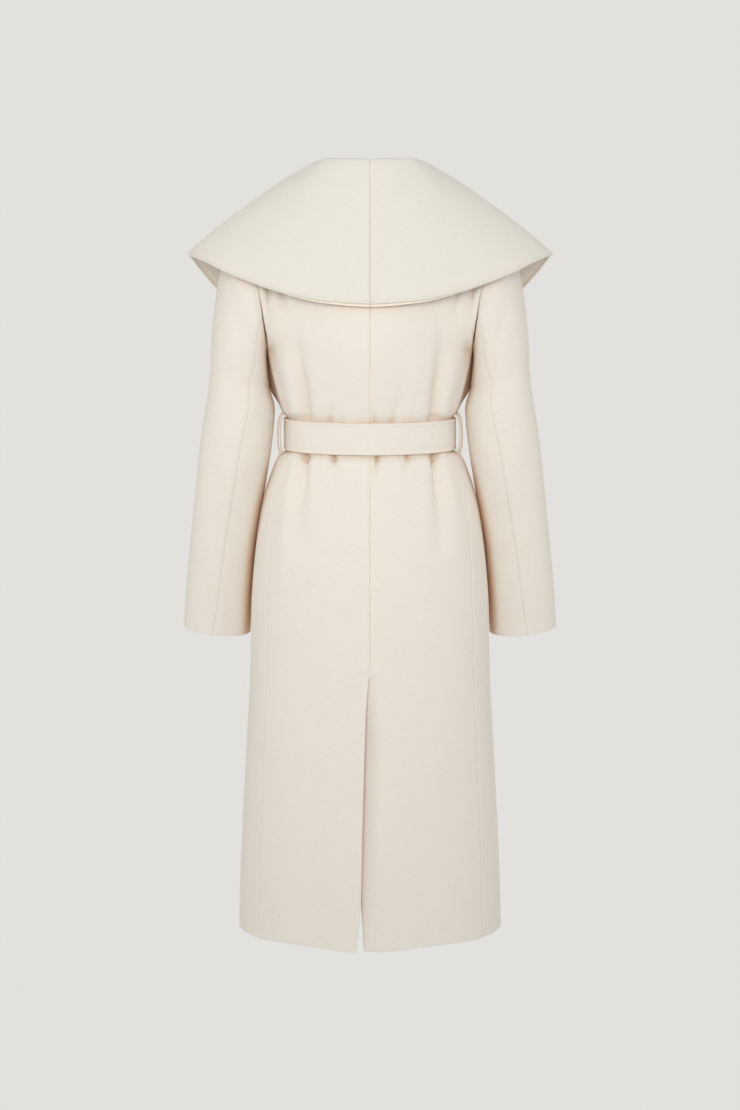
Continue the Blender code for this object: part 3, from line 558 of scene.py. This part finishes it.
# ------------------------ creases
def crease_depth(p, normal, creases):
    """How deep the creases lie at points of a surface."""
    total = np.zeros(p.shape[:-1])
    flat = p.reshape(-1, 3)[:, [0, 2]]
    for c in creases:
        line = np.array(c.line, float)
        keys = np.arange(len(line))
        fine = np.linspace(0, len(line) - 1, 6 * (len(line) - 1) + 1)
        run = np.stack([smooth_through(keys, line[:, k], fine) for k in range(4)], axis=-1)
        nearest = np.full(len(flat), 1e9)
        depth = np.zeros(len(flat))
        width = np.full(len(flat), 1.0)
        for k in range(len(run) - 1):
            a, b = run[k], run[k + 1]
            d = b[:2] - a[:2]
            share = ((flat - a[:2]) @ d) / max(d @ d, 1e-12)
            inside = np.clip(share, 0.0, 1.0)
            gap = np.linalg.norm(flat - a[:2] - inside[:, None] * d, axis=1)
            nearer = gap < nearest
            nearest = np.where(nearer, gap, nearest)
            depth = np.where(nearer, a[3] + (b[3] - a[3]) * inside, depth)
            width = np.where(nearer, a[2] + (b[2] - a[2]) * inside, width)
        hollow = SLACK * depth * np.exp(-(nearest / width) ** 2)
        facing = ease(normal[..., 1] * (1.0 if c.face == "back" else -1.0) / 0.35)
        total += hollow.reshape(total.shape) * facing
    return total


def grid_normals(grid):
    across = np.gradient(grid, axis=1)
    along = np.gradient(grid, axis=0)
    return unit(np.cross(across, along))


def outward_normals(grid, towards):
    normal = grid_normals(grid)
    i, j = grid.shape[0] // 2, grid.shape[1] // 2
    return normal if normal[i, j] @ np.asarray(towards, float) > 0 else -normal


def on_body(grid, towards, creases=()):
    """Lays the body's folds and creases into a panel."""
    normal = outward_normals(grid, towards)
    depth = fold_depth(grid[..., 2], ring_angle(grid)) + crease_depth(grid, normal, creases)
    return grid - normal * depth[..., None]


# ------------------------ making pieces
def edge_distances(grid, first_column):
    """Each point's distance to the grid's four sides, along the grid's own lines."""
    across = np.linalg.norm(np.diff(grid, axis=1), axis=-1)
    across = np.concatenate([np.zeros((len(grid), 1)), np.cumsum(across, axis=1)], axis=1)
    along = np.linalg.norm(np.diff(grid, axis=0), axis=-1)
    along = np.concatenate([np.zeros((1, grid.shape[1])), np.cumsum(along, axis=0)], axis=0)
    begin = across[np.arange(len(grid)), first_column][:, None]
    return {
        "row_first": along,
        "row_last": along[-1:] - along,
        "col_first": np.abs(across - begin),
        "col_last": across[:, -1:] - across,
    }


def rounded(distance, radius):
    """How far a face falls away beside an edge that is rounded."""
    short = np.clip(radius - distance, 0.0, radius)
    return radius - np.sqrt(radius ** 2 - short ** 2)


def shell(name, lining, towards, wall, edges, relief=0.0, present=None, first_column=None):
    """A closed wall of cloth on a grid of its lining side.

    Each edge is free, seam, centre (the deeper centre-back seam) or pressed (the collar's flat seam).
    """
    rows, cols = lining.shape[:2]
    normal = outward_normals(lining, towards)
    if first_column is None:
        first_column = np.zeros(rows, int)
    distance = edge_distances(lining, first_column)
    outer = np.full((rows, cols), wall) + relief
    inner = np.zeros((rows, cols))
    for where, kind in edges.items():
        d = distance[where]
        if kind == "free":
            outer = outer - rounded(d, 0.45 * wall)
            inner = inner + rounded(d, 0.45 * wall)
        elif kind == "seam":
            outer = outer - SEAM_DIP * np.exp(-(d / SEAM_WIDTH) ** 2) - rounded(d, 0.0003)
        elif kind == "centre":
            outer = outer - 1.5 * SEAM_DIP * np.exp(-(d / (0.8 * SEAM_WIDTH)) ** 2) - rounded(d, 0.0004)
        elif kind == "pressed":
            outer = outer - 0.4 * SEAM_DIP * np.exp(-(d / SEAM_WIDTH) ** 2) - rounded(d, 0.0002)
    faces_out = lining + normal * outer[..., None]
    faces_in = lining + normal * inner[..., None]
    index = np.arange(rows * cols).reshape(rows, cols)
    quads = np.stack([index[:-1, :-1], index[:-1, 1:], index[1:, 1:], index[1:, :-1]], axis=-1)
    quads = quads.reshape(-1, 4)
    if present is not None:
        quads = quads[present]
    a, c = faces_out.reshape(-1, 3)[quads[0, 0]], faces_out.reshape(-1, 3)[quads[0, 2]]
    b, d = faces_out.reshape(-1, 3)[quads[0, 1]], faces_out.reshape(-1, 3)[quads[0, 3]]
    if np.cross(c - a, d - b) @ normal.reshape(-1, 3)[quads[0, 0]] < 0:
        quads = quads[:, ::-1]
    count = rows * cols
    directed = np.concatenate([quads[:, [k, (k + 1) % 4]] for k in range(4)])
    key = directed[:, 0] * count + directed[:, 1]
    back_key = directed[:, 1] * count + directed[:, 0]
    rim = directed[~np.isin(key, back_key)]
    rim = np.stack([rim[:, 1], rim[:, 0], rim[:, 0] + count, rim[:, 1] + count], axis=-1)
    every = np.concatenate([quads, quads[:, ::-1] + count, rim])
    used, every = np.unique(every, return_inverse=True)
    verts = np.concatenate([faces_out.reshape(-1, 3), faces_in.reshape(-1, 3)])[used]
    return solid(name, verts, every.reshape(-1, 4))


def solid(name, verts, faces):
    mesh = bpy.data.meshes.new(name)
    mesh.from_pydata(verts.tolist(), [], faces.tolist())
    mesh.validate()
    mesh.shade_smooth()
    obj = bpy.data.objects.new(name, mesh)
    bpy.context.scene.collection.objects.link(obj)
    return obj


def flat_size(grid):
    """Greatest width, greatest length and area of a grid of cloth, measured along it."""
    across = np.linalg.norm(np.diff(grid, axis=1), axis=-1).sum(axis=1).max()
    along = np.linalg.norm(np.diff(grid, axis=0), axis=-1).sum(axis=0).max()
    u = grid[1:, 1:] - grid[:-1, :-1]
    v = grid[1:, :-1] - grid[:-1, 1:]
    area = 0.5 * np.linalg.norm(np.cross(u, v), axis=-1).sum()
    return (float(across), float(along)), float(area)


def dress(obj, mat, slot_name, grid, held, rests_on, with_pieces=()):
    """Gives a piece its cloth and its place on the coat, and hides the part it replaces; its flat size is
    worked out but not kept.
    """
    obj.data.materials.append(mat)
    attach(obj, "root")
    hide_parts(obj.name.replace("wool_", ""))
    flat, area = flat_size(grid)
    area = min(area, flat[0] * flat[1])


def body_heights():
    """Heights of the body panels' rows above the hem, closest round the belt."""
    low = spaced(HEM_Z, VENT_TOP_Z - 0.03, 0.0075, True, False)
    vent = np.linspace(VENT_TOP_Z - 0.03, VENT_TOP_Z + 0.01, 17)[1:]
    skirt = np.linspace(VENT_TOP_Z + 0.01, -0.50, 42)[1:]
    waist = np.linspace(-0.50, -0.20, 101)[1:]
    chest = spaced(-0.20, 0.0, 0.0045, False, True)[1:]
    vent[np.argmin(np.abs(vent - VENT_TOP_Z))] = VENT_TOP_Z
    vent[np.argmin(np.abs(vent - VENT_BAR_Z))] = VENT_BAR_Z
    return np.concatenate([low, vent, skirt, waist, chest])


def hem_lift(s, h):
    """The hem lifts a little between the vent and the sides."""
    return 0.004 * np.sin(math.pi * s) ** 2 * ease((-1.0 - h) / 0.13)


def vent_sink(p):
    """How far the right half falls in beside the flap of the left one."""
    flap = column(VENT, "flap", p[..., 2])
    beside = np.maximum(flap - p[..., 0], 0.0)
    below = ease((VENT_TOP_Z - p[..., 2]) / 0.090)
    return VENT_SINK * below * np.exp(-(beside / 0.016) ** 2)


def make_backs():
    columns = spaced(0.0, 1.0, 0.0045, scale=0.19)
    heights = body_heights()
    pieces = []
    for side, end in SIDES:
        grid = back(columns, heights, side)
        grid[..., 2] += hem_lift(columns[None, :], heights[:, None])
        grid = on_body(grid, (side * 0.3, 1.0, 0.0), BODY_CREASES)
        if side < 0:
            grid[..., 1] -= vent_sink(grid)
        else:
            inward = edge_distances(grid, np.zeros(len(heights), int))["col_first"]
            below = ease((VENT_BAR_Z - grid[..., 2]) / 0.10)
            grid[..., 1] += VENT_LIFT * below * np.exp(-(inward / 0.016) ** 2)
        edges = {"row_first": "free", "row_last": "seam", "col_first": "centre", "col_last": "seam"}
        from_side = edge_distances(grid, np.zeros(len(heights), int))["col_last"]
        above_belt = ease((heights + 0.352) / 0.040) * ease((-0.120 - heights) / 0.030)
        relief = ARMHOLE_ROLL * above_belt[:, None] * np.exp(-((from_side - 0.0085) / 0.0075) ** 2)
        if side > 0:
            obj = shell("wool_back_" + end, grid, (0.3, 1.0, 0.0), WALL, edges, relief)
            pieces.append((obj, grid))
            continue
        shares = spaced(1.0, 0.0, 0.0060, True, False, scale=0.035)[:-1]
        z = np.minimum(heights, VENT_TOP_Z)[:, None]
        x = column(VENT, "underlap", z) * shares[None, :]
        level = heights[:, None] + 0 * shares[None, :]
        under = body(level, angle_at_x(level, x), -0.0030)
        under[..., 1] -= vent_sink(under)
        whole = np.concatenate([under, grid], axis=1)
        extra = len(shares)
        top_row = int(np.argmin(np.abs(heights - VENT_TOP_Z))) + 1
        here = np.ones((whole.shape[0] - 1, whole.shape[1] - 1), bool)
        here[top_row:, :extra] = False
        first = np.where(np.arange(len(heights)) > top_row, extra, 0)
        relief = np.concatenate([np.zeros(under.shape[:2]), relief], axis=1)
        obj = shell("wool_back_" + end, whole, (-0.3, 1.0, 0.0), WALL, edges, relief,
                    present=here.reshape(-1), first_column=first)
        pieces.append((obj, grid))
    return pieces


def make_fronts():
    columns = spaced(0.0, 1.0, 0.0055, scale=0.30)
    heights = body_heights()
    pieces = []
    for side, end in SIDES:
        grid = front(columns, heights, side)
        grid[..., 2] -= 0.004 * ease((-1.0 - heights[:, None]) / 0.13) * ease(columns[None, :] / 0.30)
        towards = (side * 1.0, -1.0, 0.0)
        grid = on_body(grid, towards, BODY_CREASES)
        edges = {"row_first": "free", "row_last": "seam", "col_first": "seam", "col_last": "free"}
        pieces.append((shell("wool_front_" + end, grid, towards, WALL, edges), grid))
    return pieces


def make_sleeves():
    cap = np.concatenate([1.0 - (1.29 / 0.42) * np.array([0.0] + EDGE_STEPS), np.linspace(0.97, -0.27, 52)])
    cap = np.sort(np.unique(cap))[::-1]
    tube = spaced(SLEEVE[-1].z, SLEEVE[0].z, 0.0055, True, False)[::-1]
    heights = np.concatenate([cap, tube])[:, None]
    z = np.minimum(heights, SLEEVE[0].z + CAP_FALL * (heights - SLEEVE[0].z))
    keys, angles = zip(*ELBOW_SEAM)
    elbow = smooth_through(keys, angles, z)
    trim = math.degrees(SEAM_CRACK / 2 / 0.048)
    pieces = []
    for side, end in SIDES:
        for piece in ("upper", "under"):
            first, last, reach = FOREARM_SEAM_DEG + 0 * elbow, elbow, 0.10
            towards = (-side * 1.0, 0.4, 0.0)
            if piece == "upper":
                first, last, reach = elbow, 360.0 + FOREARM_SEAM_DEG + 0 * elbow, 0.22
                towards = (side * 1.0, 0.0, 0.0)
            share = spaced(0.0, 1.0, 0.0045, scale=reach)[None, :]
            angle = first + trim + (last - first - 2 * trim) * share
            grid = mirrored(side, sleeve(angle, heights + 0 * angle))
            normal = outward_normals(grid, towards)
            grid = grid - normal * crease_depth(grid, normal, SLEEVE_CREASES)[..., None]
            edges = {"row_first": "seam", "row_last": "free", "col_first": "seam", "col_last": "seam"}
            name = f"wool_sleeve_{piece}_{end}"
            pieces.append((shell(name, grid, towards, WALL, edges), grid))
    return pieces


def make_collars():
    shoulder, front_edge = np.linspace(0.9, 1.30, 72)[1:], np.linspace(1.30, 1.70, 56)[1:]
    along = np.concatenate([np.linspace(0.0, 0.9, 82), shoulder, front_edge])
    fall = spaced(0.3, 1.0, 0.0042, False, True, scale=0.21)[1:]
    across = np.concatenate([np.linspace(0.0, 0.3, 15), fall])
    pieces = []
    for side, end in SIDES:
        last = (LEFT_LAPEL if side > 0 else RIGHT_LAPEL)[-1].seam_at
        at = np.concatenate([along, spaced(1.70, last, 0.0045, False, True, scale=0.35)[1:]])
        middle = collar(at, across, side)
        normal = grid_normals(middle) * -side
        middle[0] = points(side * SEAM_CRACK / 2, middle[0][:, 1], middle[0][:, 2])
        for layer, direction in (("upper", 1.0), ("under", -1.0)):
            grid = middle + normal * (direction * COLLAR_HALF_GAP)
            if layer == "under":
                drop = unit(grid[:, -1] - grid[:, -4])[:, None] * np.exp(-(at / 0.5) ** 2)[:, None, None]
                reach = ease((across - 0.6) / 0.4)[None, :, None]
                grid = grid + drop * (UNDER_COLLAR_DROP * reach)
            facing = normal[len(at) // 2, len(across) // 2] * direction
            edges = {**FREE, "row_first": "pressed"}
            name = f"wool_collar_{layer}_{end}"
            inward = edge_distances(grid, np.zeros(len(at), int))
            rim = np.minimum(inward["col_last"], inward["row_last"])
            relief = COLLAR_ROLL * np.exp(-((rim - 0.0016) / 0.0016) ** 2)
            relief = relief - 0.0008 * np.exp(-((rim - 0.0045) / 0.0012) ** 2)
            pieces.append((shell(name, grid, facing, COLLAR_WALL, edges, relief), grid))
    return pieces


# ------------------------ belt
def make_belt():
    angles = np.linspace(-BELT_END_DEG, BELT_END_DEG, 421)
    up = spaced(-BELT_HEIGHT / 2, BELT_HEIGHT / 2, 0.0022)[:, None]
    around = body(BELT_Z + 0 * angles, angles, BELT_EASE)[None]
    grid = points(around[..., 0] + 0 * up, around[..., 1] + 0 * up, BELT_Z + up + 0 * around[..., 0])
    from_edge = BELT_HEIGHT / 2 - np.abs(up)
    relief = 0.0004 * np.exp(-((from_edge - 0.0024) / 0.0016) ** 2)
    relief = relief - 0.0005 * np.exp(-((from_edge - 0.0062) / 0.0012) ** 2)
    relief = relief + 0 * angles
    return [(shell("wool_belt", grid, (0.0, 1.0, 0.0), BELT_WALL, FREE, relief), grid)]


def make_loops():
    waist = column(BODY, "half_width", BELT_Z)
    heights = spaced(LOOP_BOW[-1][0], LOOP_BOW[0][0], 0.0020)[:, None]
    out = smooth_through([b[0] for b in LOOP_BOW], [b[1] for b in LOOP_BOW], heights)
    wide = spaced(-LOOP_WIDTH / 2, LOOP_WIDTH / 2, 0.0010)[None, :]
    pieces = []
    for side, end in SIDES:
        p = body(BELT_Z, LOOP_ANGLE, out - waist)
        grid = mirrored(side, points(p[..., 0] + 0 * wide, p[..., 1] + wide, heights + 0 * wide))
        name = "wool_belt_loop_" + end
        pieces.append((shell(name, grid, (side * 1.0, 0.0, 0.0), LOOP_WALL, FREE), grid))
    return pieces


def make_knot():
    """One turn of the belt drawn tight over itself, its creases running in at both ends."""
    low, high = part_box("belt_knot")
    middle = (np.array(low) + np.array(high)) / 2
    half = (np.array(high) - np.array(low)) / 2
    rows, cols = 90, 128
    v = np.linspace(0.02, math.pi - 0.02, rows)[:, None]
    u = np.linspace(0.0, 2 * math.pi, cols, endpoint=False)[None, :]
    across = np.cos(v) + 0 * u
    round_x = np.sign(across) * np.abs(across) ** 0.80
    ring = np.sin(v) ** 0.60
    lean = 0.35 * np.sin(u)
    folds = (0.5 + 0.5 * np.cos(9.0 * across + lean * 6.0 + 0.7)) ** 3
    ring = ring * (1.0 - 0.13 * folds - 0.10 * np.exp(-((np.abs(across) - 0.86) / 0.10) ** 2))
    x = half[0] * (0.93 * round_x + 0.05 * np.sin(u) * (1 - np.abs(across)))
    y = half[1] * 0.98 * np.sign(np.cos(u)) * np.abs(np.cos(u)) ** 0.75 * ring
    z = half[2] * 0.98 * np.sign(np.sin(u)) * np.abs(np.sin(u)) ** 0.80 * ring * (1.0 - 0.10 * across ** 2)
    verts = points(x, y, z) + middle
    index = np.arange(rows * cols).reshape(rows, cols)
    right = np.roll(index, -1, axis=1)
    quads = np.stack([index[:-1], index[1:], right[1:], right[:-1]], axis=-1).reshape(-1, 4)
    return solid("wool_belt_knot", verts.reshape(-1, 3), quads)


def make_tails():
    """The belt's two ends hang from the knot and lie on the skirt's front."""
    heights = spaced(TAIL_END_Z, TAIL_TOP_Z, 0.0035)[:, None]
    across = spaced(-0.5, 0.5, 0.0022, scale=BELT_HEIGHT)[None, :]
    fall = (TAIL_TOP_Z - heights) / (TAIL_TOP_Z - TAIL_END_Z)
    width = TAIL_NECK + (BELT_HEIGHT - TAIL_NECK) * ease(fall * 3)
    pieces = []
    for side, end in SIDES:
        x = side * (0.0175 + 0.026 * ease(fall * 2)) + TAIL_LEAN * fall + across * width
        level = heights + 0 * x
        on_skirt = body(level, 180.0 - angle_at_x(level, x), TAIL_OUT)
        y = np.minimum(on_skirt[..., 1], KNOT_Y + 0.10 * fall + 0.002)
        grid = points(x, y, level)
        gathers = 0.0012 * np.cos(2 * math.pi * (2.5 * across + 0.2 * side)) * (1.0 - ease(fall * 3.5))
        from_edge = width * (0.5 - np.abs(across))
        relief = gathers - 0.0005 * np.exp(-((from_edge - 0.0062) / 0.0012) ** 2)
        name = "wool_belt_tail_" + end
        pieces.append((shell(name, grid, (0.0, -1.0, 0.0), BELT_WALL, FREE, relief), grid))
    return pieces


# ------------------------ cloth
def set_inputs(node, values):
    for name, value in values.items():
        node.inputs[name].default_value = value


def wool(name, base, light, dark):
    """Brushed wool: a short nap combed level round the coat, soft mottling, a slight bloom, and painted
    shade in its hollows.
    """
    mat = bpy.data.materials.new(name)
    mat.use_nodes = True
    nodes, links = mat.node_tree.nodes, mat.node_tree.links
    shader = nodes["Principled BSDF"]
    set_inputs(shader, {"Roughness": 0.93, "Specular IOR Level": 0.18, "Sheen Weight": 0.34,
                        "Sheen Roughness": 0.45, "Sheen Tint": (1.0, 0.96, 0.90, 1.0)})
    place = nodes.new("ShaderNodeTexCoord")

    def noise(scale, size, detail, rough):
        turn = nodes.new("ShaderNodeMapping")
        turn.inputs["Scale"].default_value = scale
        links.new(place.outputs["Object"], turn.inputs["Vector"])
        made = nodes.new("ShaderNodeTexNoise")
        set_inputs(made, {"Scale": size, "Detail": detail, "Roughness": rough})
        links.new(turn.outputs["Vector"], made.inputs["Vector"])
        return made.outputs["Fac"]

    def bump(height, strength, distance):
        made = nodes.new("ShaderNodeBump")
        set_inputs(made, {"Strength": strength, "Distance": distance})
        links.new(height, made.inputs["Height"])
        return made

    nap = noise((0.35, 0.35, 2.2), 420.0, 4.0, 0.62)
    fibre = noise((1.0, 1.0, 1.0), 1500.0, 2.0, 0.5)
    mottle = noise((1.0, 1.0, 1.4), 22.0, 3.0, 0.55)
    shade = nodes.new("ShaderNodeValToRGB")
    shade.color_ramp.elements[0].position = 0.30
    shade.color_ramp.elements[0].color = (*dark, 1.0)
    shade.color_ramp.elements[1].position = 0.72
    shade.color_ramp.elements[1].color = (*light, 1.0)
    middle = shade.color_ramp.elements.new(0.5)
    middle.color = (*base, 1.0)
    blend = nodes.new("ShaderNodeMix")
    blend.data_type = "FLOAT"
    blend.inputs["Factor"].default_value = 0.18
    links.new(nap, blend.inputs["A"])
    links.new(mottle, blend.inputs["B"])
    links.new(blend.outputs["Result"], shade.inputs["Fac"])
    # painted shade: where the ambient occlusion node finds the cloth closed in, the base colour is
    # multiplied towards warm brown, darker the more enclosed the spot
    hollow = nodes.new("ShaderNodeAmbientOcclusion")
    hollow.samples = 6
    hollow.inputs["Distance"].default_value = 0.019
    open_air = nodes.new("ShaderNodeMapRange")
    set_inputs(open_air, {"From Min": 0.05, "From Max": 0.95})
    links.new(hollow.outputs["AO"], open_air.inputs["Value"])
    painted_shade_ramp = nodes.new("ShaderNodeValToRGB")
    painted_shade_ramp.color_ramp.elements[0].color = (0.82, 0.53, 0.35, 1.0)
    painted_shade_ramp.color_ramp.elements[1].color = (1.0, 1.0, 1.0, 1.0)
    painted_shade_ramp.color_ramp.elements.new(0.35).color = (0.90, 0.77, 0.65, 1.0)
    painted_shade_ramp.color_ramp.elements.new(0.75).color = (0.985, 0.955, 0.925, 1.0)
    links.new(open_air.outputs["Result"], painted_shade_ramp.inputs["Fac"])
    base_with_painted_shade = nodes.new("ShaderNodeMix")
    base_with_painted_shade.data_type = "RGBA"
    base_with_painted_shade.blend_type = "MULTIPLY"
    base_with_painted_shade.inputs["Factor"].default_value = 1.0
    links.new(shade.outputs["Color"], base_with_painted_shade.inputs[6])
    links.new(painted_shade_ramp.outputs["Color"], base_with_painted_shade.inputs[7])
    links.new(base_with_painted_shade.outputs[2], shader.inputs["Base Color"])
    coarse = bump(nap, 0.24, 0.0008)
    fine = bump(fibre, 0.30, 0.0003)
    links.new(coarse.outputs["Normal"], fine.inputs["Normal"])
    links.new(fine.outputs["Normal"], shader.inputs["Normal"])
    return mat


# ------------------------ the picture
PALE = (0.761, 0.753, 0.723)
ROOM_LIGHT = 0.575


def pale_surface(name):
    """A matt pale surface that shows one even tone."""
    mat = bpy.data.materials.new(name)
    mat.use_nodes = True
    shader = mat.node_tree.nodes["Principled BSDF"]
    set_inputs(shader, {"Base Color": (0.0, 0.0, 0.0, 1.0), "Roughness": 1.0, "Specular IOR Level": 0.0,
                        "Emission Color": (*PALE, 1.0), "Emission Strength": 1.0})
    return mat


def make_stage():
    """A pale floor that runs up into a pale backdrop all round, both seen but not lighting the coat."""
    bpy.ops.mesh.primitive_plane_add(size=60.0, location=(0.0, 0.0, -1.42))
    floor = bpy.context.object
    floor.name = "floor"
    floor.data.materials.append(pale_surface("pale_floor"))
    bpy.ops.mesh.primitive_uv_sphere_add(segments=64, ring_count=32, radius=28.0, location=(0.0, 0.0, -1.42))
    backdrop = bpy.context.object
    backdrop.name = "backdrop"
    backdrop.data.materials.append(pale_surface("pale_backdrop"))
    for piece in (floor, backdrop):
        piece.visible_diffuse = False
        piece.visible_glossy = False
        piece.visible_shadow = False
    world = bpy.data.worlds.new("soft_room")
    bpy.context.scene.world = world
    world.use_nodes = True
    background = world.node_tree.nodes["Background"]
    set_inputs(background, {"Color": (1.0, 0.985, 0.955, 1.0), "Strength": ROOM_LIGHT})


def soft_light(name, place, aim, size, power, colour):
    data = bpy.data.lights.new(name, "AREA")
    data.shape = "RECTANGLE"
    data.size, data.size_y = size
    data.energy = power
    data.color = colour
    lamp = bpy.data.objects.new(name, data)
    bpy.context.scene.collection.objects.link(lamp)
    lamp.location = place
    way = Vector(aim) - Vector(place)
    lamp.rotation_euler = way.to_track_quat("-Z", "Y").to_euler()


def make_picture():
    data = bpy.data.cameras.new("camera")
    data.lens = 77.84
    data.sensor_width = 36.0
    data.dof.use_dof = False
    camera = bpy.data.objects.new("camera", data)
    bpy.context.scene.collection.objects.link(camera)
    camera.location = (0.0, 3.648, 0.0)
    camera.rotation_euler = (math.radians(90.0 - 8.8), 0.0, math.radians(180.0))
    bpy.context.scene.camera = camera
    bpy.context.scene.view_settings.view_transform = "Standard"
    soft_light("key", (0.15, 2.1, 0.30), (0.0, 0.0, -0.20), (2.0, 0.8), 23.0, (1.0, 0.980, 0.955))
    soft_light("front_key", (-0.15, -2.1, 0.30), (0.0, 0.0, -0.20), (2.0, 0.8), 21.0, (1.0, 0.980, 0.955))
    for side in (1, -1):
        place = (2.3 * side, 0.7, -0.35)
        soft_light(f"side_{side}", place, (0.2 * side, 0.0, -0.30), (0.8, 1.0), 6.0, (1.0, 0.975, 0.945))


make_stage()
make_picture()
cloth = wool("wool_cloth", (0.820, 0.772, 0.708), (0.845, 0.798, 0.738), (0.788, 0.738, 0.670))
collar_cloth = wool("wool_collar_cloth", (0.772, 0.750, 0.694), (0.795, 0.774, 0.718), (0.742, 0.719, 0.662))
# painted light: the under collar is the same wool, given a lighter and warmer base colour to stand in for
# the light that falls short beneath the collar
painted_light_under_cloth = wool("wool_under_collar_cloth", (0.900, 0.830, 0.750),
                   (0.920, 0.850, 0.770), (0.870, 0.800, 0.720))
for obj, grid in make_backs() + make_fronts():
    dress(obj, cloth, "cloth", grid, "hung", ["collar_under_left", "collar_under_right"])
for obj, grid in make_sleeves():
    dress(obj, cloth, "cloth", grid, "hung", ["back_left" if "left" in obj.name else "back_right"])
for obj, grid in make_collars():
    made_of = (painted_light_under_cloth, None) if "under" in obj.name else (collar_cloth, "collar_cloth")
    dress(obj, *made_of, grid, "folded", ["back_left", "back_right"])
for obj, grid in make_belt() + make_loops():
    dress(obj, cloth, "cloth", grid, "stretched", ["back_left", "back_right"])
knot = make_knot()
knot.data.materials.append(cloth)
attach(knot, "root")
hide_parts("belt_knot")
for obj, grid in make_tails():
    dress(obj, cloth, "cloth", grid, "hung", ["belt_knot"])
